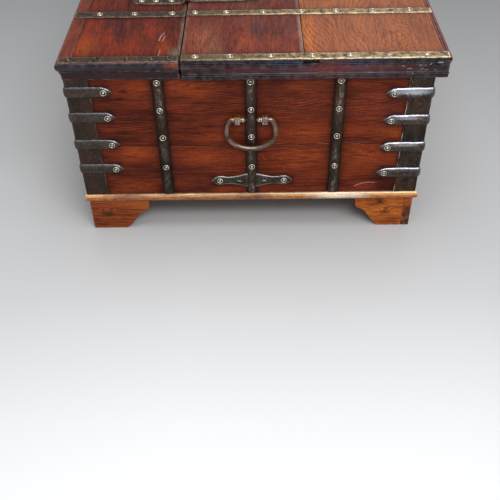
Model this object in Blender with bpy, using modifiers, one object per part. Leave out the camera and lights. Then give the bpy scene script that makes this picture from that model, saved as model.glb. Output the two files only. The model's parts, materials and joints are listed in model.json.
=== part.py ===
"""Iron strapped merchant's chest.

A plank carcass on mitred plinth rails and four bracket feet carries a top in two parts: a
fixed section at the rear and a lid that swings on two strap hinges at the seam. Corner irons,
straps and domed nails bind the planks, and a bail handle hangs at each end.

Metres, +Z up. X runs along the chest, the front looks along -Y, and the origin is on the
floor under the middle of the overall box. Until the last step of the build the middle of the
carcass is at Y 0; the staple stands further out than the rear moulding, so the finished
pieces then move back by half the difference.
"""
import math

import bmesh
import bpy
from mathutils import Matrix, Vector

# Overall sizes of the carcass
body_length = 1.100
body_depth = 0.700
body_height = 0.2744
wall_thickness = 0.022
floor_thickness = 0.018
lower_plank_height = 0.121
plank_round = 0.0015
edge_angle = math.radians(50)
smooth_angle = math.radians(35)

# Clearances shared by every joint between pieces
fit_gap = 0.0003
running_gap = 0.0004
cut_overrun = 0.004
weld_distance = 0.00001
sink = 0.0010

# Plinth rails with a rounded nosing
plinth_thickness = 0.018
plinth_overhang = 0.006
plinth_width = 0.060
plinth_nosing_steps = 6

# Bracket feet
foot_height = 0.079
foot_inset = 0.0012
foot_top_width = 0.128
foot_base_width = 0.068
front_foot_narrowing = 0.0055
foot_bracket_thickness = 0.018
foot_block_width = 0.032
foot_block_drop = 0.006
foot_curve_steps = 12
foot_lip_share = 0.73
foot_shoulder_share = 0.62
foot_lip_step_share = 0.11

# Top: seam between the fixed rear section and the lid, boards and mouldings
seam_y = 0.127
seam_gap = 0.0030
lid_height = 0.0413
fixed_top_height = 0.0362
top_board_thickness = 0.020
lid_joint_y = -0.1037
lid_front_overhang = 0.0225
lid_end_overhang = 0.0125
lid_lip = 0.0100
fixed_rear_overhang = 0.0085
fixed_end_overhang = 0.0110
fixed_rear_lip = 0.028
fixed_rear_ledge = 0.012
fixed_end_lip = 0.0100
fixed_moulding_setback = 0.0015

# Outer profiles of the mouldings, from the top edge down. The first number is the share of
# the moulding's height, the second the share of its relief that it lies in from the nose.
lid_relief = 0.0026
lid_profile_shares = (
    (0.00, 0.25),
    (0.03, 0.00),
    (0.17, 0.00),
    (0.20, 0.85),
    (0.225, 0.35),
    (0.26, 0.20),
    (0.295, 0.35),
    (0.32, 0.80),
    (0.74, 0.80),
    (0.765, 0.35),
    (0.79, 0.30),
    (0.815, 0.95),
    (0.84, 0.60),
    (0.97, 0.60),
    (1.00, 0.85),
)
fixed_relief = 0.0076
fixed_profile_shares = (
    (0.00, 0.40),
    (0.04, 0.13),
    (0.12, 0.00),
    (0.24, 0.02),
    (0.36, 0.20),
    (0.44, 0.48),
    (0.47, 0.60),
    (0.51, 0.50),
    (0.58, 0.66),
    (0.68, 0.82),
    (0.82, 0.94),
    (1.00, 1.00),
)

# Forged strap section, flat at the back: share of the half width, share of the thickness
strap_section_shares = ((-1.0, 0.0), (-1.0, 0.45), (-0.66, 1.0), (0.66, 1.0), (1.0, 0.45), (1.0, 0.0))

# Straps on the end faces and the front
strap_width = 0.023
strap_thickness = 0.0032
strap_end_clearance = 0.0006
end_strap_offset = 0.174
end_center_strap_y = -0.003
end_nail_shares = (0.255, 0.521, 0.750, 0.972)
front_strap_offset = 0.275

# Cross plate under the centre strap: share of its half length, share of its half height
cross_plate_length = 0.167
cross_plate_height = 0.033
cross_plate_thickness = 0.0022
cross_plate_rise = 0.0335
cross_plate_nail_share = 0.80
cross_plate_shares = (
    (0.00, 1.00),
    (0.16, 0.98),
    (0.38, 0.60),
    (0.62, 0.52),
    (0.70, 0.62),
    (0.82, 0.66),
    (0.92, 0.46),
    (1.00, 0.05),
)

# Corner irons: angle sheet with forged fingers
corner_sheet_width = 0.046
corner_sheet_thickness = 0.0014
finger_length = 0.088
finger_width = 0.0235
finger_thickness = 0.0042
finger_nail_share = 0.82
finger_shares = ((0.00, 1.00), (0.50, 0.97), (0.74, 0.93), (0.86, 0.86), (0.94, 0.52), (1.00, 0.06))
front_finger_shares = (0.180, 0.413, 0.645, 0.865)
rear_finger_shares = (0.245, 0.464, 0.694, 0.900)

# Straps on the top
top_strap_thickness = 0.0020
edge_strap_width = 0.0215
edge_strap_inset = 0.0010
lid_strap_width = 0.0200
lid_strap_inset = 0.1845
fixed_strap_width = 0.0255
fixed_strap_inset = 0.1925
lid_edge_nail_shares = (0.055, 0.185, 0.337, 0.491, 0.632, 0.776, 0.916)
lid_strap_nail_shares = (0.035, 0.163, 0.314, 0.470, 0.611, 0.760, 0.911)
fixed_edge_nail_shares = (0.087, 0.222, 0.426, 0.687, 0.914)
fixed_strap_nail_shares = (0.120, 0.460, 0.778)

# Domed nails: share of the head's radius, share of its height
nail_radius = 0.0062
nail_height = 0.0032
nail_sides = 8
nail_head_shares = ((0.0, 1.0), (0.62, 0.80), (1.0, 0.0), (1.2, -0.40))
pin_nail_share = 0.60

# Lid hinges
hinge_inset = 0.252
hinge_width = 0.026
hinge_leaf_thickness = 0.0030
hinge_rear_length = 0.116
hinge_lid_length = 0.150
hinge_leaf_end_share = 0.30
hinge_tip_shares = ((0.00, 1.00), (0.50, 0.72), (0.75, 0.86), (1.00, 0.06))
hinge_ramp_length = 0.014
knuckle_radius = 0.0050
knuckle_sides = 16
knuckle_share = 0.34
pin_radius = 0.0022
pin_head_radius = 0.0036
pin_head_length = 0.0014
hinge_nail_shares = (0.30, 0.58, 0.84)

# Hasp and its plate
hasp_width = 0.030
hasp_waist_width = 0.024
hasp_end_width = 0.042
hasp_thickness = 0.0035
hasp_reach = 0.120
hasp_length = 0.152
hasp_crank = 0.016
hasp_crank_start = 0.050
hasp_crank_run = 0.015
hasp_slot_length = 0.040
hasp_slot_width = 0.0105
hasp_axis_out = 0.0043
hasp_axis_rise = 0.0068
hasp_knuckle_radius = 0.0045
hasp_plate_width = 0.036
hasp_plate_thickness = 0.0030
hasp_plate_shares = ((0.12, 1.00), (0.20, 0.62), (1.00, 0.56))
hasp_plate_nail_shares = (0.07, 0.14, 0.34, 0.56, 0.78, 0.96)
hasp_neck_run = 0.0068
hasp_shoulder_run = 0.0135
hasp_blade_shares = ((0.00, 0.57), (0.40, 0.86), (0.63, 1.00), (0.86, 0.80), (0.94, 0.45), (1.00, 0.08))

# Staple that the hasp hangs over
staple_plate_width = 0.048
staple_plate_height = 0.062
staple_plate_thickness = 0.0025
staple_plate_round = 0.0008
staple_nail_share = 0.67
staple_rod_radius = 0.0035
staple_spacing = 0.024
staple_shank = 0.016
staple_arc_steps = 10

# Bail handles
handle_rise = 0.1880
handle_post_spacing = 0.054
handle_post_width = 0.0105
handle_post_height = 0.0165
handle_post_depth = 0.0120
handle_post_out = 0.0175
handle_axis_out = 0.0115
handle_neck_size = 0.0080
bail_radius = 0.0050
bail_shank_radius = 0.0034
bail_half_width = 0.0485
bail_shoulder = 0.0375
bail_widest_drop = 0.030
bail_drop = 0.0675
bail_arc_steps = 6
bail_bead_radius = 0.0050
bail_bead_length = 0.0115
bail_bead_sides = 8
bail_bead_shares = ((0.0, 1.0), (0.40, 0.80), (0.82, 0.0), (1.0, -0.50), (0.84, -0.94), (0.0, -1.0))

# Levels worked out from the sizes above
plinth_low = foot_height + fit_gap
plinth_top = plinth_low + plinth_thickness
body_low = plinth_top + fit_gap
body_top = body_low + body_height
top_low = body_top + fit_gap
lid_top = top_low + lid_height
fixed_top = top_low + fixed_top_height
half_length = body_length / 2
half_depth = body_depth / 2
lid_seam_y = seam_y - seam_gap / 2
fixed_seam_y = seam_y + seam_gap / 2
hinge_axis_z = lid_top + fit_gap + knuckle_radius
hinge_x = half_length - hinge_inset
lid_half_x = half_length + lid_end_overhang
lid_front_y = -(half_depth + lid_front_overhang)
hasp_axis_y = lid_front_y - hasp_axis_out
hasp_axis_z = lid_top + hasp_axis_rise
staple_z = hasp_axis_z - hasp_reach
handle_z = body_low + handle_rise
staple_reach = staple_plate_thickness + staple_shank + staple_spacing / 2 + staple_rod_radius
front_reach = half_depth + fit_gap + staple_reach
rear_reach = half_depth + fixed_rear_overhang

SIDES = (("left", -1), ("right", 1))
X_AXIS = Vector((1, 0, 0))
Y_AXIS = Vector((0, 1, 0))
Z_AXIS = Vector((0, 0, 1))


def clear_scene():
    """Empty the scene and its stored data."""
    for obj in list(bpy.data.objects):
        bpy.data.objects.remove(obj, do_unlink=True)
    for group in list(bpy.data.collections):
        bpy.data.collections.remove(group)
    for store in (bpy.data.meshes, bpy.data.curves, bpy.data.materials):
        for item in list(store):
            store.remove(item)


def new_collection(name):
    group = bpy.data.collections.new(name)
    bpy.context.scene.collection.children.link(group)
    return group


def new_material(name, colour, roughness, metallic=0.0):
    mat = bpy.data.materials.new(name)
    mat.use_nodes = True
    shader = mat.node_tree.nodes["Principled BSDF"]
    shader.inputs["Base Color"].default_value = (*colour, 1.0)
    shader.inputs["Roughness"].default_value = roughness
    shader.inputs["Metallic"].default_value = metallic
    mat.diffuse_color = (*colour, 1.0)
    return mat


clear_scene()
PARTS = new_collection("merchant_chest")
CUTTERS = new_collection("cutters")
WOOD = (0.20, 0.045, 0.020)
MOULDING_WOOD = (0.07, 0.022, 0.016)
PLINTH_WOOD = (0.50, 0.19, 0.05)
FOOT_WOOD = (0.42, 0.13, 0.03)
IRON = (0.055, 0.050, 0.048)
LID_IRON = (0.20, 0.17, 0.12)
STEEL = (0.27, 0.24, 0.22)


# Shape helpers

def mesh_object(name, bm):
    """Turn a bmesh into an object with its faces pointing out."""
    bmesh.ops.recalc_face_normals(bm, faces=bm.faces)
    mesh = bpy.data.meshes.new(name)
    bm.to_mesh(mesh)
    bm.free()
    obj = bpy.data.objects.new(name, mesh)
    PARTS.objects.link(obj)
    return obj


def evaluated_mesh(obj):
    bpy.context.view_layer.update()
    graph = bpy.context.evaluated_depsgraph_get()
    return bpy.data.meshes.new_from_object(obj.evaluated_get(graph))


def settle(obj):
    """Keep an object's evaluated shape and drop its modifiers."""
    mesh = evaluated_mesh(obj)
    obj.modifiers.clear()
    obj.data = mesh
    return obj


def curve_to_mesh(obj):
    """Replace a curve by a closed mesh object of the same name and place."""
    mesh = evaluated_mesh(obj)
    name = obj.name
    place = obj.matrix_world.copy()
    bpy.data.objects.remove(obj, do_unlink=True)
    bm = bmesh.new()
    bm.from_mesh(mesh)
    bmesh.ops.remove_doubles(bm, verts=bm.verts, dist=weld_distance)
    bmesh.ops.transform(bm, matrix=place, verts=bm.verts)
    return mesh_object(name, bm)


def box(name, low, high):
    """A square block between two corners."""
    low, high = Vector(low), Vector(high)
    bm = bmesh.new()
    place = Matrix.Translation((low + high) / 2) @ Matrix.Diagonal((*(high - low), 1))
    bmesh.ops.create_cube(bm, size=1, matrix=place)
    return mesh_object(name, bm)


def soften(obj, width, segments=1):
    """Ease the sharp edges of a solid."""
    bevel = obj.modifiers.new("eased_edges", "BEVEL")
    bevel.width = width
    bevel.segments = segments
    bevel.limit_method = "ANGLE"
    bevel.angle_limit = edge_angle
    return obj


def plank(name, low, high):
    return soften(box(name, low, high), plank_round)


def aligned(direction, at):
    """A matrix that turns +Z onto a direction and moves the origin to a point."""
    turn = Vector(direction).to_track_quat("Z", "Y").to_matrix().to_4x4()
    return Matrix.Translation(Vector(at)) @ turn


def cylinder(name, at, direction, radius, length, sides):
    """A round bar centred on a point."""
    bm = bmesh.new()
    bmesh.ops.create_cone(
        bm, cap_ends=True, segments=sides, radius1=radius, radius2=radius, depth=length,
        matrix=aligned(direction, at))
    return mesh_object(name, bm)


def prism(name, outline, thickness, place):
    """A flat closed outline, filled and thickened about its own plane."""
    curve = bpy.data.curves.new(name, "CURVE")
    curve.dimensions = "2D"
    curve.fill_mode = "BOTH"
    curve.extrude = thickness / 2
    spline = curve.splines.new("POLY")
    spline.points.add(len(outline) - 1)
    for point, (u, v) in zip(spline.points, outline):
        point.co = (u, v, 0, 1)
    spline.use_cyclic_u = True
    obj = bpy.data.objects.new(name, curve)
    PARTS.objects.link(obj)
    obj.matrix_world = place
    return curve_to_mesh(obj)


def rod(name, points, radius, radius_shares=None):
    """A round bar along a path, with filled ends."""
    curve = bpy.data.curves.new(name, "CURVE")
    curve.dimensions = "3D"
    curve.bevel_depth = radius
    curve.bevel_resolution = 2
    curve.use_fill_caps = True
    spline = curve.splines.new("POLY")
    spline.points.add(len(points) - 1)
    shares = radius_shares or [1.0] * len(points)
    for knot, place, share in zip(spline.points, points, shares):
        knot.co = (*place, 1)
        knot.radius = share
    obj = bpy.data.objects.new(name, curve)
    PARTS.objects.link(obj)
    return curve_to_mesh(obj)


def turned(name, profile, sides):
    """A solid of revolution about Z from a profile that starts and ends on the axis."""
    bm = bmesh.new()
    knots = [bm.verts.new((radius, 0, height)) for radius, height in profile]
    for a, b in zip(knots, knots[1:]):
        bm.edges.new((a, b))
    mesh = bpy.data.meshes.new(name)
    bm.to_mesh(mesh)
    bm.free()
    obj = bpy.data.objects.new(name, mesh)
    PARTS.objects.link(obj)
    screw = obj.modifiers.new("turn", "SCREW")
    screw.axis = "Z"
    screw.steps = sides
    screw.render_steps = sides
    screw.use_merge_vertices = True
    screw.merge_threshold = weld_distance
    return settle(obj)


def loft(name, rings):
    """A closed skin through rings of equal point counts, capped at both ends."""
    bm = bmesh.new()
    loops = [[bm.verts.new(point) for point in ring] for ring in rings]
    count = len(loops[0])
    for near, far in zip(loops, loops[1:]):
        for i in range(count):
            j = (i + 1) % count
            bm.faces.new((near[i], near[j], far[j], far[i]))
    bm.faces.new(loops[0])
    bm.faces.new(loops[-1])
    return mesh_object(name, bm)


def combine(obj, other, operation):
    step = obj.modifiers.new(operation.lower(), "BOOLEAN")
    step.operation = operation
    step.solver = "EXACT"
    step.object = other


def fuse(obj, *others):
    """Join solids into the first one."""
    for other in others:
        combine(obj, other, "UNION")
        settle(obj)
        bpy.data.objects.remove(other, do_unlink=True)
    return obj


def cut(obj, *cutters):
    """Cut shapes out of a solid; the cutters stay in their own collection."""
    for cutter in cutters:
        PARTS.objects.unlink(cutter)
        CUTTERS.objects.link(cutter)
        cutter.hide_render = True
        cutter.display_type = "WIRE"
        combine(obj, cutter, "DIFFERENCE")
    return obj


def finish(obj, mat, smooth=False, pivot=None):
    """Give a piece its material and put its origin on its joint axis where it has one."""
    obj.data.materials.clear()
    obj.data.materials.append(mat)
    if smooth:
        obj.data.shade_smooth()
        obj.data.set_sharp_from_angle(angle=smooth_angle)
    if pivot is not None:
        obj.data.transform(Matrix.Translation(-Vector(pivot)))
        obj.location = pivot
    return obj


def nail_heads(spots):
    """Domed nail heads at (point, outward direction, size share), as one tool for a fuse."""
    profile = [(nail_radius * r, nail_height * h) for r, h in nail_head_shares]
    profile.append((0, profile[-1][1]))
    pattern = turned("nail_pattern", profile, nail_sides)
    bm = bmesh.new()
    for at, out, share in spots:
        copy = pattern.data.copy()
        copy.transform(aligned(out, at) @ Matrix.Diagonal((share, share, share, 1)))
        bm.from_mesh(copy)
        bpy.data.meshes.remove(copy)
    bpy.data.objects.remove(pattern, do_unlink=True)
    return mesh_object("nail_heads", bm)


def strap(name, stations, across, lift=fit_gap):
    """A forged strap with a flat back through (centre, outward, half width, thickness)."""
    rings = []
    for centre, out, half_width, thickness in stations:
        ring = []
        for width_share, rise_share in strap_section_shares:
            height = lift + rise_share * (thickness - lift)
            ring.append(centre + across * (half_width * width_share) + out * height)
        rings.append(ring)
    return loft(name, rings)


def nailed(obj, spots):
    return fuse(obj, nail_heads(spots)) if spots else obj


# Carcass

def floor(wood):
    inner_x = half_length - wall_thickness - fit_gap
    inner_y = half_depth - wall_thickness - fit_gap
    low = (-inner_x, -inner_y, body_low)
    high = (inner_x, inner_y, body_low + floor_thickness)
    finish(plank("floor_board", low, high), wood)


def long_wall(name, side, wood):
    """Front or rear board, as long as the carcass."""
    outer = side * half_depth
    inner = side * (half_depth - wall_thickness)
    low = (-half_length, min(outer, inner), body_low)
    high = (half_length, max(outer, inner), body_top)
    return finish(plank(name, low, high), wood)


def end_planks(label, side, wood):
    """Upper and lower plank of one end, between the long boards."""
    outer = side * half_length
    inner = side * (half_length - wall_thickness)
    reach = half_depth - wall_thickness - fit_gap
    joint = body_low + lower_plank_height
    spans = (("lower", body_low, joint - fit_gap / 2), ("upper", joint + fit_gap / 2, body_top))
    for level, bottom, top in spans:
        low = (min(outer, inner), -reach, bottom)
        high = (max(outer, inner), reach, top)
        finish(plank(f"{label}_end_{level}_plank", low, high), wood)


# Mitred frames: rows of (inset along X, inset along Y, height) from an outer rectangle

def plinth_rows():
    """Rounded nosing outside, square inside."""
    middle = plinth_low + plinth_thickness / 2
    rows = []
    for step in range(plinth_nosing_steps + 1):
        angle = math.radians(90) - math.radians(180) * step / plinth_nosing_steps
        inset = plinth_overhang * (1 - math.cos(angle))
        rows.append((inset, inset, middle + plinth_thickness / 2 * math.sin(angle)))
    width = plinth_overhang + plinth_width
    return rows + [(width, width, plinth_low), (width, width, plinth_top)]


def moulding_rows(shares, relief, height, lip_x, lip_y, width_x, width_y):
    """Moulded outside, a lip at the top and a ledge for the boards inside it."""
    rows = [(relief * inset, relief * inset, top_low + height * (1 - drop)) for drop, inset in shares]
    ledge = top_low + height - top_board_thickness - fit_gap
    top = top_low + height
    rows += [(width_x, width_y, top_low), (width_x, width_y, ledge)]
    rows += [(lip_x, lip_y, ledge), (lip_x, lip_y, top)]
    return rows


def mitre_ring(rows, half_x, half_y, sign_x, sign_y, slip_x, slip_y):
    return [
        Vector((sign_x * (half_x - in_x - slip_x), sign_y * (half_y - in_y - slip_y), height))
        for in_x, in_y, height in rows]


def square_ring(rows, half_x, sign_x, y):
    return [Vector((sign_x * (half_x - in_x), y, height)) for in_x, in_y, height in rows]


def cross_rail(name, rows, half_x, half_y, sign_y, mat):
    """A rail along X, mitred at both ends."""
    rings = [mitre_ring(rows, half_x, half_y, sign_x, sign_y, fit_gap, 0) for sign_x in (-1, 1)]
    finish(loft(name, rings), mat)


def side_rail(name, rows, half_x, half_y, sign_x, far, mat):
    """A rail along Y, mitred at one end and mitred or square at the other."""
    rings = [mitre_ring(rows, half_x, half_y, sign_x, far[0], 0, fit_gap)]
    if far[1] is None:
        rings.append(mitre_ring(rows, half_x, half_y, sign_x, -far[0], 0, fit_gap))
    else:
        rings.append(square_ring(rows, half_x, sign_x, far[1]))
    finish(loft(name, rings), mat)


def plinth(wood):
    rows = plinth_rows()
    half_x = half_length + plinth_overhang
    half_y = half_depth + plinth_overhang
    cross_rail("front_plinth_rail", rows, half_x, half_y, -1, wood)
    cross_rail("rear_plinth_rail", rows, half_x, half_y, 1, wood)
    for label, side in SIDES:
        side_rail(f"{label}_plinth_rail", rows, half_x, half_y, side, (-1, None), wood)


def foot_outline(start, top_width, base_width):
    """Bracket outline in (distance from the corner, height), with an ogee inner edge."""
    run = top_width - base_width
    lip_edge = top_width - run * foot_lip_step_share
    points = [(start, 0), (start, foot_height), (top_width, foot_height)]
    points.append((top_width, foot_height * foot_lip_share))
    for step in range(foot_curve_steps + 1):
        share = step / foot_curve_steps
        distance = lip_edge - (lip_edge - base_width) * share
        height = foot_height * foot_shoulder_share * (1 + math.cos(math.pi * share)) / 2
        points.append((distance, height))
    return points


def foot(name, sign_x, sign_y, wood):
    """Side bracket to the corner, end bracket butted behind it, and a block in the angle."""
    corner = Vector((sign_x * (half_length - foot_inset), sign_y * (half_depth - foot_inset), 0))
    half = foot_bracket_thickness / 2
    side_place = Matrix((
        (-sign_x, 0, 0, corner.x),
        (0, 0, -sign_y, corner.y - sign_y * half),
        (0, 1, 0, 0),
        (0, 0, 0, 1)))
    end_place = Matrix((
        (0, 0, -sign_x, corner.x - sign_x * half),
        (-sign_y, 0, 0, corner.y),
        (0, 1, 0, 0),
        (0, 0, 0, 1)))
    narrowing = front_foot_narrowing if sign_y < 0 else 0
    widths = (foot_top_width - narrowing, foot_base_width - narrowing)
    side_bracket = prism(name, foot_outline(0, *widths), foot_bracket_thickness, side_place)
    end_outline = foot_outline(foot_bracket_thickness + fit_gap, *widths)
    end_bracket = prism(name + "_end", end_outline, foot_bracket_thickness, end_place)
    near = foot_bracket_thickness - sink
    far = foot_bracket_thickness + foot_block_width
    spans_x = sorted(corner.x - sign_x * reach for reach in (near, far))
    spans_y = sorted(corner.y - sign_y * reach for reach in (near, far))
    low = (spans_x[0], spans_y[0], foot_block_drop)
    high = (spans_x[1], spans_y[1], foot_height - sink)
    block = box(name + "_block", low, high)
    finish(fuse(side_bracket, end_bracket, block), wood)


# Top

def fixed_section(board_wood, rail_wood):
    half_x = half_length + fixed_end_overhang
    half_y = half_depth + fixed_rear_overhang
    rows = moulding_rows(
        fixed_profile_shares, fixed_relief, fixed_top_height, fixed_end_lip, fixed_rear_lip,
        fixed_end_overhang + wall_thickness, fixed_rear_lip + fixed_rear_ledge)
    end_y = fixed_seam_y + fixed_moulding_setback
    cross_rail("fixed_top_rear_moulding", rows, half_x, half_y, 1, rail_wood)
    for label, side in SIDES:
        name = f"fixed_top_{label}_moulding"
        side_rail(name, rows, half_x, half_y, side, (1, end_y), rail_wood)
    reach = half_x - fixed_end_lip - fit_gap
    low = (-reach, fixed_seam_y, fixed_top - top_board_thickness)
    high = (reach, half_y - fixed_rear_lip - fit_gap, fixed_top)
    return finish(plank("fixed_top_board", low, high), board_wood)


def lid(board_wood, rail_wood):
    half_y = half_depth + lid_front_overhang
    rows = moulding_rows(
        lid_profile_shares, lid_relief, lid_height, lid_lip, lid_lip,
        lid_end_overhang + wall_thickness, lid_front_overhang + wall_thickness)
    cross_rail("lid_front_moulding", rows, lid_half_x, half_y, -1, rail_wood)
    for label, side in SIDES:
        name = f"lid_{label}_moulding"
        side_rail(name, rows, lid_half_x, half_y, side, (-1, lid_seam_y), rail_wood)
    reach = lid_half_x - lid_lip - fit_gap
    front = -(half_y - lid_lip - fit_gap)
    spans = (
        ("lid_front_board", front, lid_joint_y - fit_gap / 2),
        ("lid_rear_board", lid_joint_y + fit_gap / 2, lid_seam_y))
    for name, near, far in spans:
        low = (-reach, near, lid_top - top_board_thickness)
        finish(plank(name, low, (reach, far, lid_top)), board_wood)


# Irons on the carcass

def upright_strap(name, foot_point, out, across, lift=fit_gap):
    """A strap up the full height of a wall."""
    bottom = foot_point + Z_AXIS * strap_end_clearance
    top = foot_point + Z_AXIS * (body_height - strap_end_clearance)
    stations = [(place, out, strap_width / 2, strap_thickness) for place in (bottom, top)]
    return strap(name, stations, across, lift)


def upright_nails(foot_point, out):
    return [
        (foot_point + Z_AXIS * (body_height * share) + out * strap_thickness, out, 1)
        for share in end_nail_shares]


def cross_plate(name, centre, out, across):
    """Leaf ended plate that lies across the foot of the centre strap."""
    half = cross_plate_length / 2
    half_height = cross_plate_height / 2
    shares = [(-place, size) for place, size in reversed(cross_plate_shares[1:])]
    stations = []
    for place, size in shares + list(cross_plate_shares):
        point = centre + across * (half * place)
        stations.append((point, out, half_height * size, cross_plate_thickness))
    return strap(name, stations, Z_AXIS)


def end_straps(label, side, iron):
    out = X_AXIS * side
    places = (
        ("front", -end_strap_offset),
        ("center", end_center_strap_y),
        ("rear", end_strap_offset))
    for place, y in places:
        name = f"{label}_end_{place}_strap"
        foot_point = Vector((side * half_length, y, body_low))
        piece = upright_strap(name, foot_point, out, Y_AXIS)
        spots = upright_nails(foot_point, out)
        if place == "center":
            centre = foot_point + Z_AXIS * cross_plate_rise
            piece = fuse(piece, cross_plate(name + "_plate", centre, out, Y_AXIS))
            for sign in (-1, 1):
                offset = Y_AXIS * (sign * cross_plate_length / 2 * cross_plate_nail_share)
                spots.append((centre + offset + out * cross_plate_thickness, out, 1))
        finish(nailed(piece, spots), iron)


def front_straps(iron):
    out = -Y_AXIS
    for label, side in SIDES:
        foot_point = Vector((side * front_strap_offset, -half_depth, body_low))
        piece = upright_strap(f"front_{label}_strap", foot_point, out, X_AXIS)
        finish(nailed(piece, upright_nails(foot_point, out)), iron)


def rear_straps(board):
    """The straps of the rear board, fused with it."""
    out = Y_AXIS
    settle(board)
    for x in (-front_strap_offset, 0, front_strap_offset):
        foot_point = Vector((x, half_depth, body_low))
        piece = upright_strap("rear_strap", foot_point, out, X_AXIS, -sink)
        fuse(board, nailed(piece, upright_nails(foot_point, out)))


def finger(name, sign_x, sign_y, height):
    """A forged finger round a corner, pointed at both ends."""
    end_out = X_AXIS * sign_x
    side_out = Y_AXIS * sign_y
    corner = Vector((sign_x * half_length, sign_y * half_depth, height))
    half = finger_width / 2
    stations = []
    for place, size in reversed(finger_shares[1:]):
        point = corner - side_out * (finger_length * place)
        stations.append((point, end_out, half * size, finger_thickness))
    stations.append((corner, end_out + side_out, half, finger_thickness))
    for place, size in finger_shares[1:]:
        point = corner - end_out * (finger_length * place)
        stations.append((point, side_out, half * size, finger_thickness))
    return strap(name, stations, Z_AXIS)


def corner_iron(name, sign_x, sign_y, shares, iron):
    """Angle sheet round the corner with its fingers and nails."""
    inner = Vector((half_length + fit_gap, half_depth + fit_gap))
    outer = inner + Vector((corner_sheet_thickness, corner_sheet_thickness))
    edge_x = half_length - corner_sheet_width
    edge_y = half_depth - corner_sheet_width
    outline = [
        (outer.x, outer.y), (outer.x, edge_y), (inner.x, edge_y),
        (inner.x, inner.y), (edge_x, inner.y), (edge_x, outer.y)]
    outline = [(sign_x * x, sign_y * y) for x, y in outline]
    height = body_height - strap_end_clearance * 2
    place = Matrix.Translation((0, 0, body_low + body_height / 2))
    piece = prism(name, outline, height, place)
    end_out = X_AXIS * sign_x
    side_out = Y_AXIS * sign_y
    spots = []
    for share in shares:
        level = body_low + body_height * share
        piece = fuse(piece, finger(name + "_finger", sign_x, sign_y, level))
        corner = Vector((sign_x * half_length, sign_y * half_depth, level))
        run = finger_length * finger_nail_share
        for out, along in ((end_out, side_out), (side_out, end_out)):
            spots.append((corner - along * run + out * finger_thickness, out, 1))
    finish(nailed(piece, spots), iron)


# Straps on the top

def top_strap(name, x, near, far, level, width, shares, small=0, lift=fit_gap):
    """A flat strap across the top from the near to the far edge, with its nails.

    The last few nails, as many as small says, are pins of a lesser size.
    """
    stations = [
        (Vector((x, y, level)), Z_AXIS, width / 2, top_strap_thickness) for y in (near, far)]
    piece = strap(name, stations, X_AXIS, lift)
    spots = []
    for count, share in enumerate(shares):
        place = Vector((x, near + (far - near) * share, level + top_strap_thickness))
        size = pin_nail_share if count >= len(shares) - small else 1
        spots.append((place, Z_AXIS, size))
    return nailed(piece, spots)


def top_straps(iron, lid_iron):
    lid_far = lid_front_y + edge_strap_inset + lid_relief
    fixed_far = half_depth + fixed_rear_overhang - edge_strap_inset - fixed_relief / 2
    lid_edge_x = lid_half_x - edge_strap_inset - edge_strap_width / 2
    fixed_edge_x = half_length + fixed_end_overhang - fixed_relief / 2 - edge_strap_width / 2
    fixed_near = fixed_seam_y + fixed_moulding_setback
    for label, side in SIDES:
        finish(top_strap(
            f"lid_{label}_edge_strap", side * lid_edge_x, lid_seam_y, lid_far, lid_top,
            edge_strap_width, lid_edge_nail_shares, 2), lid_iron)
        finish(top_strap(
            f"lid_{label}_strap", side * (half_length - lid_strap_inset), lid_seam_y, lid_far,
            lid_top, lid_strap_width, lid_strap_nail_shares), lid_iron)
        finish(top_strap(
            f"fixed_top_{label}_edge_strap", side * fixed_edge_x, fixed_near, fixed_far, fixed_top,
            edge_strap_width, fixed_edge_nail_shares), iron)
        finish(top_strap(
            f"fixed_top_{label}_strap", side * (half_length - fixed_strap_inset), fixed_seam_y,
            fixed_far, fixed_top, fixed_strap_width, fixed_strap_nail_shares), iron)


def center_top_strap(board):
    """The short strap that carries the line of the hasp plate over the fixed board."""
    settle(board)
    far = half_depth + fixed_rear_overhang - fixed_rear_lip - strap_end_clearance
    fuse(board, top_strap(
        "fixed_center_strap", 0, fixed_seam_y + strap_end_clearance, far, fixed_top,
        hasp_plate_width, fixed_strap_nail_shares, 0, -sink))


# Hinges

def knuckle(name, x, y, z, radius, width):
    return cylinder(name, (x, y, z), X_AXIS, radius, width, knuckle_sides)


def knuckle_places(x, width):
    """Middle place and the two outer places of a three part knuckle, as (centre, width)."""
    middle = width * knuckle_share
    outer = (width - middle) / 2
    shift = (middle + outer) / 2
    return (x, middle), ((x - shift, outer), (x + shift, outer))


def leaf(name, root, direction, length, level, half_width, thickness, ramp):
    """A strap leaf from a knuckle axis, with a pointed far end.

    root is the axis point, level the surface it lies on, ramp the run down from the axis.
    """
    end = length * hinge_leaf_end_share
    on_top = Vector((root.x, root.y, level))
    climb = root.z - thickness / 2
    stations = [(Vector((root.x, root.y, climb)), Z_AXIS, half_width, thickness)]
    if ramp:
        stations.append((on_top + direction * ramp, Z_AXIS, half_width, thickness))
    for place, size in hinge_tip_shares:
        run = length - end * (1 - place)
        stations.append((on_top + direction * run, Z_AXIS, half_width * size, thickness))
    return strap(name, stations, X_AXIS)


def leaf_nails(root, direction, length, level, thickness, shares):
    return [
        (Vector((root.x, root.y, level + thickness)) + direction * (length * share), Z_AXIS, 1)
        for share in shares]


def bore(name, root, radius, width):
    return cylinder(name, root, X_AXIS, radius, width, knuckle_sides)


def pin(name, root, width, mat):
    """A riveted pin with a head at each end."""
    length = width + fit_gap * 2
    stem = cylinder(name, root, X_AXIS, pin_radius, length + pin_head_length, knuckle_sides)
    heads = []
    for side in (-1, 1):
        place = root + X_AXIS * (side * (length + pin_head_length) / 2)
        heads.append(cylinder(
            name + "_head", place, X_AXIS, pin_head_radius, pin_head_length, knuckle_sides))
    finish(fuse(stem, *heads), mat, smooth=True)


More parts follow.
